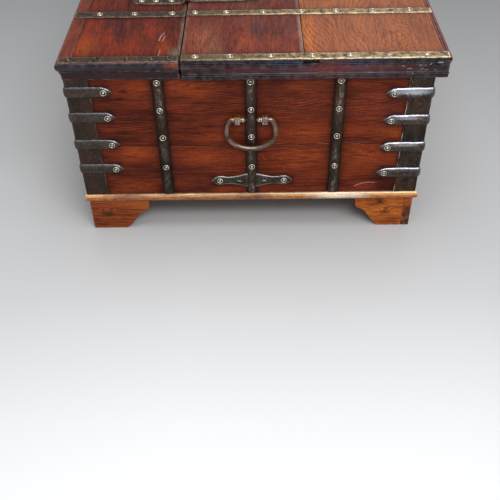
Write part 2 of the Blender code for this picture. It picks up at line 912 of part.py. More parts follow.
def hinge(label, side, iron, steel):
    root = Vector((side * hinge_x, seam_y, hinge_axis_z))
    middle, outer = knuckle_places(root.x, hinge_width)
    clear_radius = knuckle_radius + running_gap
    half = hinge_width / 2

    rear = leaf(
        f"{label}_hinge_rear_leaf", root, Y_AXIS, hinge_rear_length, fixed_top, half,
        hinge_leaf_thickness, hinge_ramp_length)
    for x, width in outer:
        rear = fuse(rear, knuckle("knuckle", x, root.y, root.z, knuckle_radius, width - fit_gap))
    rear = nailed(rear, leaf_nails(
        root, Y_AXIS, hinge_rear_length, fixed_top, hinge_leaf_thickness, hinge_nail_shares))
    cut(
        rear,
        knuckle(f"{label}_rear_relief", middle[0], root.y, root.z, clear_radius, middle[1] + fit_gap),
        bore(f"{label}_rear_bore", root, pin_radius + fit_gap, hinge_width + cut_overrun))
    finish(settle(rear), iron)

    front = leaf(
        f"{label}_hinge_lid_leaf", root, -Y_AXIS, hinge_lid_length, lid_top, half,
        hinge_leaf_thickness, knuckle_radius * 2)
    front = fuse(front, knuckle(
        "knuckle", middle[0], root.y, root.z, knuckle_radius, middle[1] - fit_gap))
    front = nailed(front, leaf_nails(
        root, -Y_AXIS, hinge_lid_length, lid_top, hinge_leaf_thickness, hinge_nail_shares))
    reliefs = [
        knuckle(f"{label}_lid_relief", x, root.y, root.z, clear_radius, width + fit_gap)
        for x, width in outer]
    cut(front, *reliefs)
    cut(front, bore(f"{label}_lid_bore", root, pin_radius + fit_gap, hinge_width + cut_overrun))
    finish(settle(front), iron, pivot=root)
    pin(f"{label}_hinge_pin", root, hinge_width, steel)


# Hasp

def hasp_plate(iron, steel):
    """Long strap over the lid that carries the hasp's knuckle at the front edge."""
    root = Vector((0, hasp_axis_y, hasp_axis_z))
    middle, outer = knuckle_places(0, hasp_plate_width)
    length = lid_seam_y - root.y - strap_end_clearance
    half = hasp_plate_width / 2
    ramp = hasp_axis_out + lid_relief
    on_top = Vector((0, root.y, lid_top))
    low_root = Vector((0, root.y, root.z - hasp_plate_thickness / 2))
    stations = [(low_root, Z_AXIS, half, hasp_plate_thickness)]
    stations.append((on_top + Y_AXIS * ramp, Z_AXIS, half, hasp_plate_thickness))
    for place, size in hasp_plate_shares:
        point = on_top + Y_AXIS * (length * place)
        stations.append((point, Z_AXIS, half * size, hasp_plate_thickness))
    piece = strap("hasp_plate", stations, X_AXIS)
    for x, width in outer:
        piece = fuse(piece, knuckle(
            "knuckle", x, root.y, root.z, hasp_knuckle_radius, width - fit_gap))
    spots = [
        (on_top + Y_AXIS * (length * share) + Z_AXIS * hasp_plate_thickness, Z_AXIS, 1)
        for share in hasp_plate_nail_shares]
    piece = nailed(piece, spots)
    cut(
        piece,
        knuckle(
            "hasp_plate_relief", 0, root.y, root.z, hasp_knuckle_radius + hasp_thickness / 2,
            middle[1] + fit_gap),
        bore("hasp_plate_bore", root, pin_radius + fit_gap, hasp_plate_width + cut_overrun))
    finish(settle(piece), iron)
    pin("hasp_pin", root, hasp_plate_width, steel)


def hasp_path():
    """Distance from the axis, rise of the underside and half width along the hasp."""
    neck = (hasp_plate_width * knuckle_share - fit_gap) / 2
    waist = hasp_waist_width / 2
    path = [(0, 0, neck), (hasp_neck_run, 0, neck), (hasp_shoulder_run, 0, hasp_width / 2)]
    path.append((hasp_crank_start, 0, waist))
    crank_end = hasp_crank_start + hasp_crank_run
    for place, size in hasp_blade_shares:
        run = crank_end + (hasp_length - crank_end) * place
        path.append((run, hasp_crank, hasp_end_width / 2 * size))
    return path


def hasp(iron):
    """Cranked strap with a slot, thrown back over the lid."""
    root = Vector((0, hasp_axis_y, hasp_axis_z))
    middle, outer = knuckle_places(0, hasp_plate_width)
    stations = [
        (root + Y_AXIS * run + Z_AXIS * rise, Z_AXIS, half, hasp_thickness)
        for run, rise, half in hasp_path()]
    piece = strap("hasp", stations, X_AXIS, 0)
    piece = fuse(piece, knuckle(
        "knuckle", 0, root.y, root.z, hasp_knuckle_radius, middle[1] - fit_gap))
    slot_centre = root + Y_AXIS * hasp_reach + Z_AXIS * (hasp_crank + hasp_thickness / 2)
    half = Vector((hasp_slot_width / 2, hasp_slot_length / 2, hasp_thickness))
    slot = box("hasp_slot", slot_centre - half, slot_centre + half)
    cut(piece, slot, bore("hasp_bore", root, pin_radius + fit_gap, hasp_plate_width))
    finish(settle(piece), iron, pivot=root)


def hasp_staple(iron):
    """Loop on a nailed plate that stands out through the hasp's slot."""
    face = -(half_depth + fit_gap)
    half = Vector((staple_plate_width / 2, 0, staple_plate_height / 2))
    centre = Vector((0, face, staple_z))
    plate = soften(box(
        "hasp_staple", centre - half - Y_AXIS * staple_plate_thickness, centre + half),
        staple_plate_round)
    settle(plate)
    reach = face - staple_plate_thickness - staple_shank
    radius = staple_spacing / 2
    points = [(0, face - staple_plate_thickness / 2, staple_z + radius)]
    for step in range(staple_arc_steps + 1):
        angle = math.pi * step / staple_arc_steps
        points.append((0, reach - radius * math.sin(angle), staple_z + radius * math.cos(angle)))
    points.append((0, face - staple_plate_thickness / 2, staple_z - radius))
    loop = rod("staple_loop", points, staple_rod_radius)
    spots = []
    for sign_x in (-1, 1):
        for sign_z in (-1, 1):
            offset = Vector((sign_x * half.x, 0, sign_z * half.z)) * staple_nail_share
            place = centre + offset - Y_AXIS * staple_plate_thickness
            spots.append((place, -Y_AXIS, pin_nail_share))
    finish(nailed(fuse(plate, loop), spots), iron)


# Bail handles

def handle_post(name, side, y, steel):
    """Eye block on a short square neck, bored for the bail's shank."""
    face = side * (half_length + fit_gap)
    tip = face + side * handle_post_out
    back = tip - side * handle_post_depth
    half_y = handle_post_width / 2
    half_z = handle_post_height / 2
    low = (min(back, tip), y - half_y, handle_z - half_z)
    high = (max(back, tip), y + half_y, handle_z + half_z)
    block = settle(soften(box(name, low, high), plank_round))
    half = handle_neck_size / 2
    inner = back + side * sink
    neck = box(
        name + "_neck", (min(face, inner), y - half, handle_z - half),
        (max(face, inner), y + half, handle_z + half))
    axis_x = side * (half_length + handle_axis_out)
    hole = cylinder(
        name + "_bore", (axis_x, y, handle_z), Y_AXIS, bail_shank_radius + fit_gap,
        handle_post_width + cut_overrun, knuckle_sides)
    piece = fuse(block, neck)
    cut(piece, hole)
    finish(settle(piece), steel)


def quarter(steps, centre_y, centre_z, reach_y, reach_z, first, last):
    """Points of an elliptical quarter from one angle to another, without the first."""
    points = []
    for step in range(1, steps + 1):
        angle = math.radians(first + (last - first) * step / steps)
        points.append((centre_y + reach_y * math.sin(angle), centre_z + reach_z * math.cos(angle)))
    return points


def bail_half():
    """Path of half a bail in (y, z) from its bead to the middle of the grip."""
    post_inner = (handle_post_spacing - handle_post_width) / 2
    post_outer = (handle_post_spacing + handle_post_width) / 2
    bead = post_inner - fit_gap - bail_bead_length / 2
    side_turn = quarter(
        bail_arc_steps, bail_shoulder, -bail_widest_drop, bail_half_width - bail_shoulder,
        bail_widest_drop, 0, 90)
    grip = quarter(
        bail_arc_steps, 0, -bail_widest_drop, bail_half_width, bail_drop - bail_widest_drop, 90, 180)
    shank = [(bead, 0), (post_outer + fit_gap, 0)]
    return shank, [(bail_shoulder, 0)] + side_turn + grip


def bail(name, side, steel):
    """Rounded bail whose shanks pass through the posts and end in turned beads."""
    pivot = Vector((side * (half_length + handle_axis_out), 0, handle_z))
    middle = end_center_strap_y
    shank, bend = bail_half()
    thin = bail_shank_radius / bail_radius
    half = [(y, z, thin) for y, z in shank] + [(y, z, 1.0) for y, z in bend]
    path = half + [(-y, z, share) for y, z, share in reversed(half[:-1])]
    points = [(pivot.x, middle + y, pivot.z + z) for y, z, share in path]
    piece = rod(name, points, bail_radius, [share for y, z, share in path])
    half_bead = bail_bead_length / 2
    profile = [(bail_bead_radius * r, half_bead * h) for r, h in bail_bead_shares]
    for sign in (-1, 1):
        bead = turned(name + "_bead", profile, bail_bead_sides)
        bead.data.transform(aligned(
            Y_AXIS * -sign, (pivot.x, middle + sign * shank[0][0], pivot.z)))
        piece = fuse(piece, bead)
    finish(piece, steel, smooth=True, pivot=pivot)


def handle(label, side, steel):
    for place, sign in (("front", -1), ("rear", 1)):
        y = end_center_strap_y + sign * handle_post_spacing / 2
        handle_post(f"{label}_handle_{place}_post", side, y, steel)
    bail(f"{label}_bail", side, steel)


def center_footprint():
    """Move every piece so that the origin lies under the middle of the overall box."""
    shift = (front_reach - rear_reach) / 2
    for group in (PARTS, CUTTERS):
        for obj in group.objects:
            obj.location.y += shift


def build():
    wood = new_material("body_wood", WOOD, 0.42)
    top_wood = new_material("top_wood", WOOD, 0.35)
    moulding_wood = new_material("moulding_wood", MOULDING_WOOD, 0.40)
    plinth_wood = new_material("plinth_wood", PLINTH_WOOD, 0.35)
    foot_wood = new_material("foot_wood", FOOT_WOOD, 0.45)
    iron = new_material("forged_iron", IRON, 0.48, 0.8)
    lid_iron = new_material("worn_iron", LID_IRON, 0.42, 0.8)
    steel = new_material("handle_steel", STEEL, 0.35, 0.9)

    floor(wood)
    long_wall("front_board", -1, wood)
    rear_straps(long_wall("rear_board", 1, wood))
    plinth(plinth_wood)
    for label, side in SIDES:
        end_planks(label, side, wood)
        end_straps(label, side, iron)
        hinge(label, side, iron, steel)
        handle(label, side, steel)
        foot(f"foot_front_{label}", side, -1, foot_wood)
        foot(f"foot_rear_{label}", side, 1, foot_wood)
        corner_iron(f"corner_iron_front_{label}", side, -1, front_finger_shares, iron)
        corner_iron(f"corner_iron_rear_{label}", side, 1, rear_finger_shares, iron)
    front_straps(iron)
    center_top_strap(fixed_section(top_wood, moulding_wood))
    lid(top_wood, moulding_wood)
    top_straps(iron, lid_iron)
    hasp_plate(iron, steel)
    hasp(iron)
    hasp_staple(iron)
    center_footprint()


build()
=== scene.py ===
"""Looks of an iron strapped merchant's chest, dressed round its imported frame.

Metres, +Z up, front towards -Y. The photographed end of the chest faces -X. Every board,
moulding, strap, nail and handle of the frame gets a finer mesh that rides on the same body.
Places along Y are written from the middle of the carcass, which lies at MIDDLE_Y.
"""
import json
import math
import random

import bmesh
import bpy
from mathutils import Matrix, Vector, noise


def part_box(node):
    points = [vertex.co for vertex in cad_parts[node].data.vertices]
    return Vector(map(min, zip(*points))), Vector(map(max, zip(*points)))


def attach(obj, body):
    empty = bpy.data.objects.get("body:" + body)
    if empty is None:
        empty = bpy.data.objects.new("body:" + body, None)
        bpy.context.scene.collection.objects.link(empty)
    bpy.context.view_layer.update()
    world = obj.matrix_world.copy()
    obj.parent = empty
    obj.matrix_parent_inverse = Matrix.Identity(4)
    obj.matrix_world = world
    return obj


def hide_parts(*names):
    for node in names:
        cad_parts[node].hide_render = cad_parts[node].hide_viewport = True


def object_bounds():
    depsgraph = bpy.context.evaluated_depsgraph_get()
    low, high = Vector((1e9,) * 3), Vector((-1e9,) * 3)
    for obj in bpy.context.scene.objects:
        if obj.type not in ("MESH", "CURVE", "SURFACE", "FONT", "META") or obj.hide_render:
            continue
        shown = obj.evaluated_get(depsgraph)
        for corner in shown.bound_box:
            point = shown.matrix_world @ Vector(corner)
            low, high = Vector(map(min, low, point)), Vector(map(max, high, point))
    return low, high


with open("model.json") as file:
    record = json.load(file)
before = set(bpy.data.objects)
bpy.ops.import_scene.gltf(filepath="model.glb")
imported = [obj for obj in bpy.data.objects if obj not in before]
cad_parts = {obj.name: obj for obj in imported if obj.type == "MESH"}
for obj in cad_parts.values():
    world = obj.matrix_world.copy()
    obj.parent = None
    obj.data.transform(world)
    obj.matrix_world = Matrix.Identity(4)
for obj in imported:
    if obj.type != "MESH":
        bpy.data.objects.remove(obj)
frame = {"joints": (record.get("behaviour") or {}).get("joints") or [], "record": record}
cad_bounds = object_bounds()
noise.seed_set(7)        # noise_vector differs from run to run without a seed

# What the frame says
RECORD = frame["record"]
BODY_OF = {node: body for body, nodes in RECORD["behaviour"]["bodies"].items() for node in nodes}
JOINTS = {joint["name"]: joint for joint in frame["joints"]}
FRONT_LOW, FRONT_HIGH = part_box("front_board")
PLANK_LOW, PLANK_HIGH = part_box("left_end_upper_plank")
HALF_LENGTH = FRONT_HIGH.x
BODY_LOW, BODY_TOP = FRONT_LOW.z, FRONT_HIGH.z
BODY_HEIGHT = BODY_TOP - BODY_LOW
MIDDLE_Y = (PLANK_LOW.y + PLANK_HIGH.y) / 2
HALF_DEPTH = MIDDLE_Y - FRONT_LOW.y
WALL = FRONT_HIGH.y - FRONT_LOW.y
LID_LOW, LID_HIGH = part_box("lid_rear_board")
LID_TOP = LID_HIGH.z
LID_SEAM_Y = LID_HIGH.y - MIDDLE_Y
TOP_BOARD = LID_HIGH.z - LID_LOW.z
FIXED_LOW, FIXED_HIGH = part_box("fixed_top_board")
FIXED_TOP = FIXED_LOW.z + TOP_BOARD
FIXED_SEAM_Y = FIXED_LOW.y - MIDDLE_Y
TOP_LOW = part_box("fixed_top_rear_moulding")[0].z

# Clearances and mesh fineness
FIT = 0.0003
MERGE = 0.00002
BOARD_CELL = 0.0065
STRAP_STEP = 0.0035
RAIL_STEP = 0.0040
SMOOTH_ANGLE = math.radians(42)

# Uneven hand-made surfaces: how far a vertex strays, and how many bumps there are in a metre
BOARD_STRAY, BOARD_BUMPS = 0.00035, 14
RAIL_STRAY, RAIL_BUMPS = 0.00030, 45
IRON_STRAY, IRON_BUMPS = 0.00030, 95

# Nails: radius and height of a head, and its turned profile from the rim to the middle
NAIL_RADIUS = 0.0061
NAIL_HEIGHT = 0.0031
NAIL_SIDES = 20
NAIL_TILT = 0.10
NAIL_PROFILE_SHARES = (
    (1.00, -0.10), (1.00, 0.22), (0.97, 0.46), (0.91, 0.58), (0.83, 0.50), (0.77, 0.20),
    (0.71, 0.03), (0.45, 0.03), (0.38, 0.30), (0.29, 0.58), (0.15, 0.76), (0.0, 0.80))
PIN_PROFILE_SHARES = ((1.00, -0.10), (1.00, 0.20), (0.86, 0.62), (0.55, 0.92), (0.0, 1.0))
PIN_SHARE = 0.58

# Straps on the walls
STRAP_WIDTH = 0.023
STRAP_THICKNESS = 0.0038
STRAP_RAGGED = 0.00055
END_STRAP_Y = 0.174
END_CENTER_Y = -0.003
FRONT_STRAP_X = 0.275
WALL_NAIL_SHARES = (0.255, 0.521, 0.750, 0.972)
RIDGE_SHARES = (
    (-1.0, 0.0), (-1.0, 0.16), (-0.94, 0.26), (-0.86, 0.28), (-0.80, 0.40), (-0.72, 0.60),
    (-0.60, 0.78), (-0.44, 0.91), (-0.22, 0.98), (0.0, 1.0), (0.22, 0.98), (0.44, 0.91),
    (0.60, 0.78), (0.72, 0.60), (0.80, 0.40), (0.86, 0.28), (0.94, 0.26), (1.0, 0.16), (1.0, 0.0))
DOME_SHARES = (
    (-1.0, 0.0), (-1.0, 0.16), (-0.97, 0.30), (-0.91, 0.46), (-0.82, 0.62), (-0.70, 0.76),
    (-0.54, 0.88), (-0.30, 0.97), (0.0, 1.0), (0.30, 0.98), (0.50, 0.92), (0.66, 0.82),
    (0.80, 0.66), (0.90, 0.50), (0.97, 0.32), (1.0, 0.16), (1.0, 0.0))
FLAT_SHARES = (
    (-1.0, 0.0), (-1.0, 0.55), (-0.96, 0.84), (-0.88, 0.98), (-0.55, 1.0), (-0.2, 0.94),
    (0.2, 0.94), (0.55, 1.0), (0.88, 0.98), (0.96, 0.84), (1.0, 0.55), (1.0, 0.0))

# Corner irons
SHEET_WIDTH = 0.046
SHEET_THICKNESS = 0.0014
SHEET_RAGGED = 0.0011
SHEET_BEND = 0.0022
SHEET_RIM = 0.0017
SHEET_RIM_WEAR = {"front": 1.0, "rear": 0.25}
SHEET_RIM_BREAKS, SHEET_RIM_BUMPS = 2.4, 48
FINGER_LENGTH = 0.088
FINGER_WIDTH = 0.0240
FINGER_THICKNESS = 0.0050
FINGER_NAIL_SHARE = 0.82
FINGER_WIDTH_SHARES = ((0.0, 0.97), (0.55, 0.97), (0.78, 0.92), (0.88, 0.74), (0.95, 0.42), (1.0, 0.05))
FRONT_FINGER_SHARES = (0.180, 0.413, 0.645, 0.865)
REAR_FINGER_SHARES = (0.245, 0.464, 0.694, 0.900)

# Cross plate under the end handle: share of half its length, upper and lower half height
PLATE_LENGTH = 0.167
PLATE_HALF_HEIGHT = 0.0165
PLATE_THICKNESS = 0.0023
PLATE_RISE = 0.0335
PLATE_NAIL_SHARE = 0.80
PLATE_STEP = 0.0016
PLATE_RAGGED = 0.0003
PLATE_SHARES = (
    (-1.0, 0.0), (-1.0, 0.50), (-0.97, 0.80), (-0.90, 0.98), (-0.80, 1.0), (-0.65, 0.99), (-0.5, 0.98),
    (-0.35, 0.97), (-0.2, 0.97), (-0.1, 0.97), (0.0, 0.97), (0.1, 0.97), (0.2, 0.97), (0.3, 0.97), (0.4, 0.97),
    (0.5, 0.98), (0.6, 0.98), (0.7, 0.99), (0.80, 1.0), (0.90, 0.98), (0.97, 0.80), (1.0, 0.50), (1.0, 0.0))
PLATE_DENT_AWAY, PLATE_DENT_RISE = 0.0262, 0.0042
PLATE_DENT_REACH = 0.0042
PLATE_DENT_DEPTH = 0.0014
PLATE_WIDTH_SHARES = (
    (0.0, 1.0), (0.16, 0.98), (0.34, 0.70), (0.52, 0.54), (0.66, 0.55), (0.74, 0.66),
    (0.84, 0.66), (0.92, 0.46), (1.0, 0.04))

# Straps on the top
TOP_STRAP_THICKNESS = 0.0021
TOP_STRAP_RAGGED = 0.0013
EDGE_STRAP_WIDTH = 0.0215
LID_STRAP_WIDTH = 0.0200
LID_STRAP_INSET = 0.1845
FIXED_STRAP_WIDTH = 0.0255
FIXED_STRAP_INSET = 0.1925
LID_EDGE_NAIL_SHARES = (0.055, 0.185, 0.337, 0.491, 0.632, 0.776, 0.916)
LID_STRAP_NAIL_SHARES = (0.035, 0.163, 0.314, 0.470, 0.611, 0.760, 0.911)
FIXED_EDGE_NAIL_SHARES = (0.087, 0.222, 0.426, 0.687, 0.914)
FIXED_STRAP_NAIL_SHARES = (0.120, 0.460, 0.778)
LID_EDGE_PINS = 2

# Feet: brackets with an ogee inner edge, as distance from the corner and height
FOOT_HEIGHT = 0.079
FOOT_INSET = 0.0012
FOOT_WIDTHS = {"front": (0.1225, 0.0625), "rear": (0.128, 0.068)}
FOOT_BRACKET = 0.018
FOOT_BLOCK = 0.032
FOOT_BLOCK_DROP = 0.006
FOOT_LIP_SHARE, FOOT_SHOULDER_SHARE, FOOT_LIP_STEP_SHARE = 0.73, 0.62, 0.11
FOOT_LAYER = 0.052
FOOT_EASE = 0.0014
FOOT_STEP = 0.0035
FOOT_KNOTS = {"rear": ((1, 0.036, 0.042),), "front": ((-1, 0.070, 0.066), (-1, 0.056, 0.040))}

# Hinges, hasp and staple
HINGE_WIDTH = 0.026
HINGE_THICKNESS = 0.0030
HINGE_RAMP = 0.014
HINGE_TIP_SHARES = ((0.00, 1.00), (0.50, 0.72), (0.75, 0.86), (0.92, 0.55), (1.00, 0.06))
HINGE_TIP_RUN_SHARE = 0.30
HINGE_NAIL_SHARES = (0.30, 0.58, 0.84)
KNUCKLE_RADIUS = 0.0050
KNUCKLE_SHARE = 0.34
KNUCKLE_SIDES = 28
KNUCKLE_GAP = 0.0010
BARREL_SHARES = ((0.0, 0.84), (0.05, 1.0), (0.35, 1.01), (0.65, 0.99), (0.95, 1.0), (1.0, 0.84))
RIVET_SHARES = ((0.0, 0.55), (0.25, 0.92), (0.55, 1.0), (1.0, 1.0))
RUNNING_GAP = 0.0006
HASP_WIDTH, HASP_WAIST, HASP_END = 0.030, 0.024, 0.042
HASP_THICKNESS = 0.0035
HASP_REACH = 0.120
HASP_LENGTH = 0.152
HASP_CRANK = 0.016
HASP_CRANK_START, HASP_CRANK_RUN = 0.050, 0.015
HASP_SLOT = (0.0105, 0.040)
HASP_KNUCKLE = 0.0045
HASP_NECK_RUN, HASP_SHOULDER_RUN = 0.0068, 0.0135
HASP_BLADE_SHARES = ((0.00, 0.57), (0.40, 0.86), (0.63, 1.00), (0.86, 0.80), (0.94, 0.45), (1.00, 0.08))
HASP_PLATE_WIDTH = 0.036
HASP_PLATE_THICKNESS = 0.0030
HASP_PLATE_SHARES = ((0.12, 1.00), (0.20, 0.62), (1.00, 0.56))
HASP_PLATE_NAIL_SHARES = (0.07, 0.14, 0.34, 0.56, 0.78, 0.96)
STAPLE_ROD = 0.0035
STAPLE_SPACING = 0.024
STAPLE_PLATE_THICKNESS = 0.0025
STAPLE_NAIL_SHARE = 0.67

# End handles
HANDLE_RISE = 0.1880
HANDLE_SPACING = 0.054
HANDLE_AXIS_OUT = 0.0115
POST_EASE = 0.0018
POST_DEPTH = 0.0120
NECK_SIZE = 0.0080
CAP_RISE = 0.0008
CAP_DEEP = 0.0035
BAIL_RADIUS = 0.0050
BAIL_SHANK = 0.0034
BAIL_HALF_WIDTH = 0.0485
BAIL_SHOULDER = 0.0375
BAIL_WIDEST_DROP = 0.030
BAIL_DROP = 0.0675
BAIL_STEPS = 16
BAIL_SIDES = 20
BEAD_LENGTH = 0.0115
BEAD_RADIUS = 0.0050
BEAD_SHARES = (
    (0.0, 0.50), (0.03, 0.84), (0.11, 0.96), (0.22, 0.94), (0.27, 0.66), (0.33, 0.66), (0.38, 0.92),
    (0.48, 0.98), (0.60, 0.86), (0.76, 0.58), (0.90, 0.34), (0.97, 0.20), (1.0, 0.05))

SIDES = (("left", -1), ("right", 1))
X_AXIS, Y_AXIS, Z_AXIS = Vector((1, 0, 0)), Vector((0, 1, 0)), Vector((0, 0, 1))


def spot(x, y, z):
    """A point given from the middle of the carcass."""
    return Vector((x, y + MIDDLE_Y, z))


def seeded(name):
    """A far point of the noise field that belongs to a name."""
    draw = random.Random(name)
    return Vector([draw.uniform(-40, 40) for _ in range(3)])


def along(shares, place):
    """The value of a table of (place share, value share) at a place."""
    for (near, low), (far, high) in zip(shares, shares[1:]):
        if place <= far:
            return low + (high - low) * (place - near) / (far - near)
    return shares[-1][1]


def smooth_path(points, steps):
    """Points on a curve through the given ones, with some steps between each two."""
    points = [Vector(point) for point in points]
    ends = [points[0] * 2 - points[1]] + points + [points[-1] * 2 - points[-2]]
    found = []
    for a, b, c, d in zip(ends, ends[1:], ends[2:], ends[3:]):
        for step in range(steps):
            t = step / steps
            found.append(0.5 * (
                2 * b + (c - a) * t + (2 * a - 5 * b + 4 * c - d) * t ** 2
                + (3 * b - a - 3 * c + d) * t ** 3))
    return found + [points[-1]]


# Mesh helpers

def skin(bm, rings, closed=True, caps=True):
    """Faces between rings of equal point counts."""
    rows = [[bm.verts.new(point) for point in ring] for ring in rings]
    count = len(rows[0])
    for near, far in zip(rows, rows[1:]):
        for i in range(count if closed else count - 1):
            j = (i + 1) % count
            bm.faces.new((near[i], near[j], far[j], far[i]))
    if caps:
        bm.faces.new(rows[0])
        bm.faces.new(rows[-1])


def roughen(bm, name, stray, bumps):
    """Move each vertex a little, by a smooth noise of its place."""
    shift = seeded(name)
    for vert in bm.verts:
        place = vert.co * bumps + shift
        vert.co += (noise.noise_vector(place) + 0.5 * noise.noise_vector(place * 2.3)) * stray


def mark_edges(mesh):
    """Store how far each vertex stands out of, or lies in from, its neighbours."""
    sums = [0.0] * len(mesh.vertices)
    counts = [0] * len(mesh.vertices)
    for edge in mesh.edges:
        a, b = (mesh.vertices[index] for index in edge.vertices)
        run = (b.co - a.co)
        if run.length > 0:
            run.normalize()
            sums[a.index] -= a.normal.dot(run)
            sums[b.index] += b.normal.dot(run)
        counts[a.index] += 1
        counts[b.index] += 1
    bend = [total / max(count, 1) for total, count in zip(sums, counts)]
    wear = mesh.attributes.new("wear", "FLOAT", "POINT")
    wear.data.foreach_set("value", [min(max(value * 4.0, 0), 1) for value in bend])
    # Hollows get painted shade, together with soiling, through this second value.
    grime = mesh.attributes.new("grime", "FLOAT", "POINT")
    grime.data.foreach_set("value", [min(max(-value * 4.0, 0), 1) for value in bend])


def piece(name, bm, mat, node=None, body=None):
    """Make a mesh piece that rides on a body, and stands for a node where one is given."""
    for vert in bm.verts:
        vert.co = [min(max(value, low), high) for value, low, high in zip(vert.co, *cad_bounds)]
    bmesh.ops.recalc_face_normals(bm, faces=bm.faces)
    mesh = bpy.data.meshes.new(name)
    bm.to_mesh(mesh)
    bm.free()
    mesh.shade_smooth()
    mesh.set_sharp_from_angle(angle=SMOOTH_ANGLE)
    mark_edges(mesh)
    mesh.materials.append(mat)
    obj = bpy.data.objects.new(name, mesh)
    bpy.context.scene.collection.objects.link(obj)
    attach(obj, BODY_OF[node] if node else body)
    if node:
        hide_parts(node)
    return obj


# Boards

IRONWORK = []


def iron_footprint(low, high):
    """Remember where iron lies, so that the wood beside it can be darker."""
    IRONWORK.append((Vector([min(a, b) for a, b in zip(low, high)]), Vector([max(a, b) for a, b in zip(low, high)])))


def ticks(low, high, ease, cell):
    """Places of the mesh lines from one face of a board to the other."""
    edge = [0.0, 0.35 * ease, ease, 2.2 * ease]
    inner_low, inner_high = low + edge[-1], high - edge[-1]
    count = max(1, round((inner_high - inner_low) / cell))
    places = [low + step for step in edge]
    places += [inner_low + (inner_high - inner_low) * i / count for i in range(1, count)]
    return places + [high - step for step in reversed(edge)]


def board_mesh(low, high, ease, cell):
    """A board with eased edges, meshed finely enough to be uneven."""
    lines = [ticks(low[axis], high[axis], ease, cell) for axis in range(3)]
    inner_low = Vector(low) + Vector((ease, ease, ease))
    inner_high = Vector(high) - Vector((ease, ease, ease))
    bm = bmesh.new()

    def eased(point):
        core = Vector([min(max(p, a), b) for p, a, b in zip(point, inner_low, inner_high)])
        off = point - core
        return core + off.normalized() * ease if off.length > 0 else point

    for axis in range(3):
        first, second = (axis + 1) % 3, (axis + 2) % 3
        for level in (low[axis], high[axis]):
            rows = []
            for a in lines[first]:
                row = []
                for b in lines[second]:
                    point = Vector((0, 0, 0))
                    point[axis], point[first], point[second] = level, a, b
                    row.append(bm.verts.new(eased(point)))
                rows.append(row)
            for near, far in zip(rows, rows[1:]):
                for i in range(len(near) - 1):
                    bm.faces.new((near[i], near[i + 1], far[i + 1], far[i]))
    bmesh.ops.remove_doubles(bm, verts=bm.verts, dist=MERGE)
    return bm


def gap_to(point, low, high):
    return math.sqrt(sum(max(a - p, p - b, 0) ** 2 for p, a, b in zip(point, low, high)))


def soil_and_shade_beside_iron(obj, reach):
    """Darken a board beside ironwork: painted shade next to the iron, together with soiling."""
    corners = [Vector(corner) for corner in obj.bound_box]
    low = Vector([min(c[i] for c in corners) - reach for i in range(3)])
    high = Vector([max(c[i] for c in corners) + reach for i in range(3)])
    close = [
        (a, b) for a, b in IRONWORK
        if all(a[i] <= high[i] and b[i] >= low[i] for i in range(3))]
    if not close:
        return
    grime = obj.data.attributes["grime"]
    for vert in obj.data.vertices:
        nearest = min(gap_to(vert.co, a, b) for a, b in close)
        value = grime.data[vert.index].value
        grime.data[vert.index].value = max(value, math.exp(-nearest / reach * 3.0))


def board(node, mat, low=None, high=None, ease=0.0016, stray=BOARD_STRAY):
    cad_low, cad_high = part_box(node)
    bm = board_mesh(low or cad_low, high or cad_high, ease, BOARD_CELL)
    roughen(bm, node, stray, BOARD_BUMPS)
    obj = piece(node + "_wood", bm, mat, node)
    soil_and_shade_beside_iron(obj, 0.022)
    return obj


# Mouldings and rails

def bead(near, far, deep, proud, steps=7):
    """A half-round bead between two heights of a profile."""
    return [
        (near + (far - near) * i / steps, deep - (deep - proud) * math.sin(math.pi * i / steps))
        for i in range(steps + 1)]


LID_PROFILE_SHARES = (
    [(0.0, 0.30), (0.012, 0.08), (0.035, 0.0), (0.10, 0.0), (0.165, 0.02), (0.185, 0.30), (0.195, 0.85)]
    + bead(0.205, 0.295, 0.80, 0.18) + [(0.31, 0.84), (0.33, 0.66), (0.53, 0.60), (0.735, 0.66), (0.75, 0.84)]
    + bead(0.755, 0.83, 0.80, 0.10) + [(0.84, 0.90), (0.855, 0.62), (0.90, 0.56), (0.97, 0.60), (1.0, 0.85)])
FIXED_PROFILE_SHARES = (
    (0.00, 0.44), (0.025, 0.20), (0.06, 0.10), (0.12, 0.01), (0.18, 0.0), (0.24, 0.02),
    (0.30, 0.09), (0.36, 0.20), (0.41, 0.36), (0.445, 0.56), (0.455, 0.66), (0.47, 0.58),
    (0.50, 0.50), (0.53, 0.56), (0.545, 0.66), (0.60, 0.70), (0.68, 0.82), (0.76, 0.90),
    (0.85, 0.95), (0.93, 0.98), (1.00, 1.00))
LID_RELIEF = 0.0030
FIXED_RELIEF = 0.0076
LID_LIP = 0.0100
FIXED_END_LIP = 0.0100
FIXED_REAR_LIP = 0.028
FIXED_REAR_LEDGE = 0.012
LIP_GROOVE_SHARES = (0.45,)
LIP_GROOVE = 0.0009
LIP_EDGE_SHARES = (0.94, 0.06)
LIP_SKIN = 0.0012
CHIP_Y, CHIP_REACH, CHIP_HEIGHT = -0.116, 0.016, 0.0090
CHIP_DEPTH = 0.0056
PLINTH_NOSING_STEPS = 12


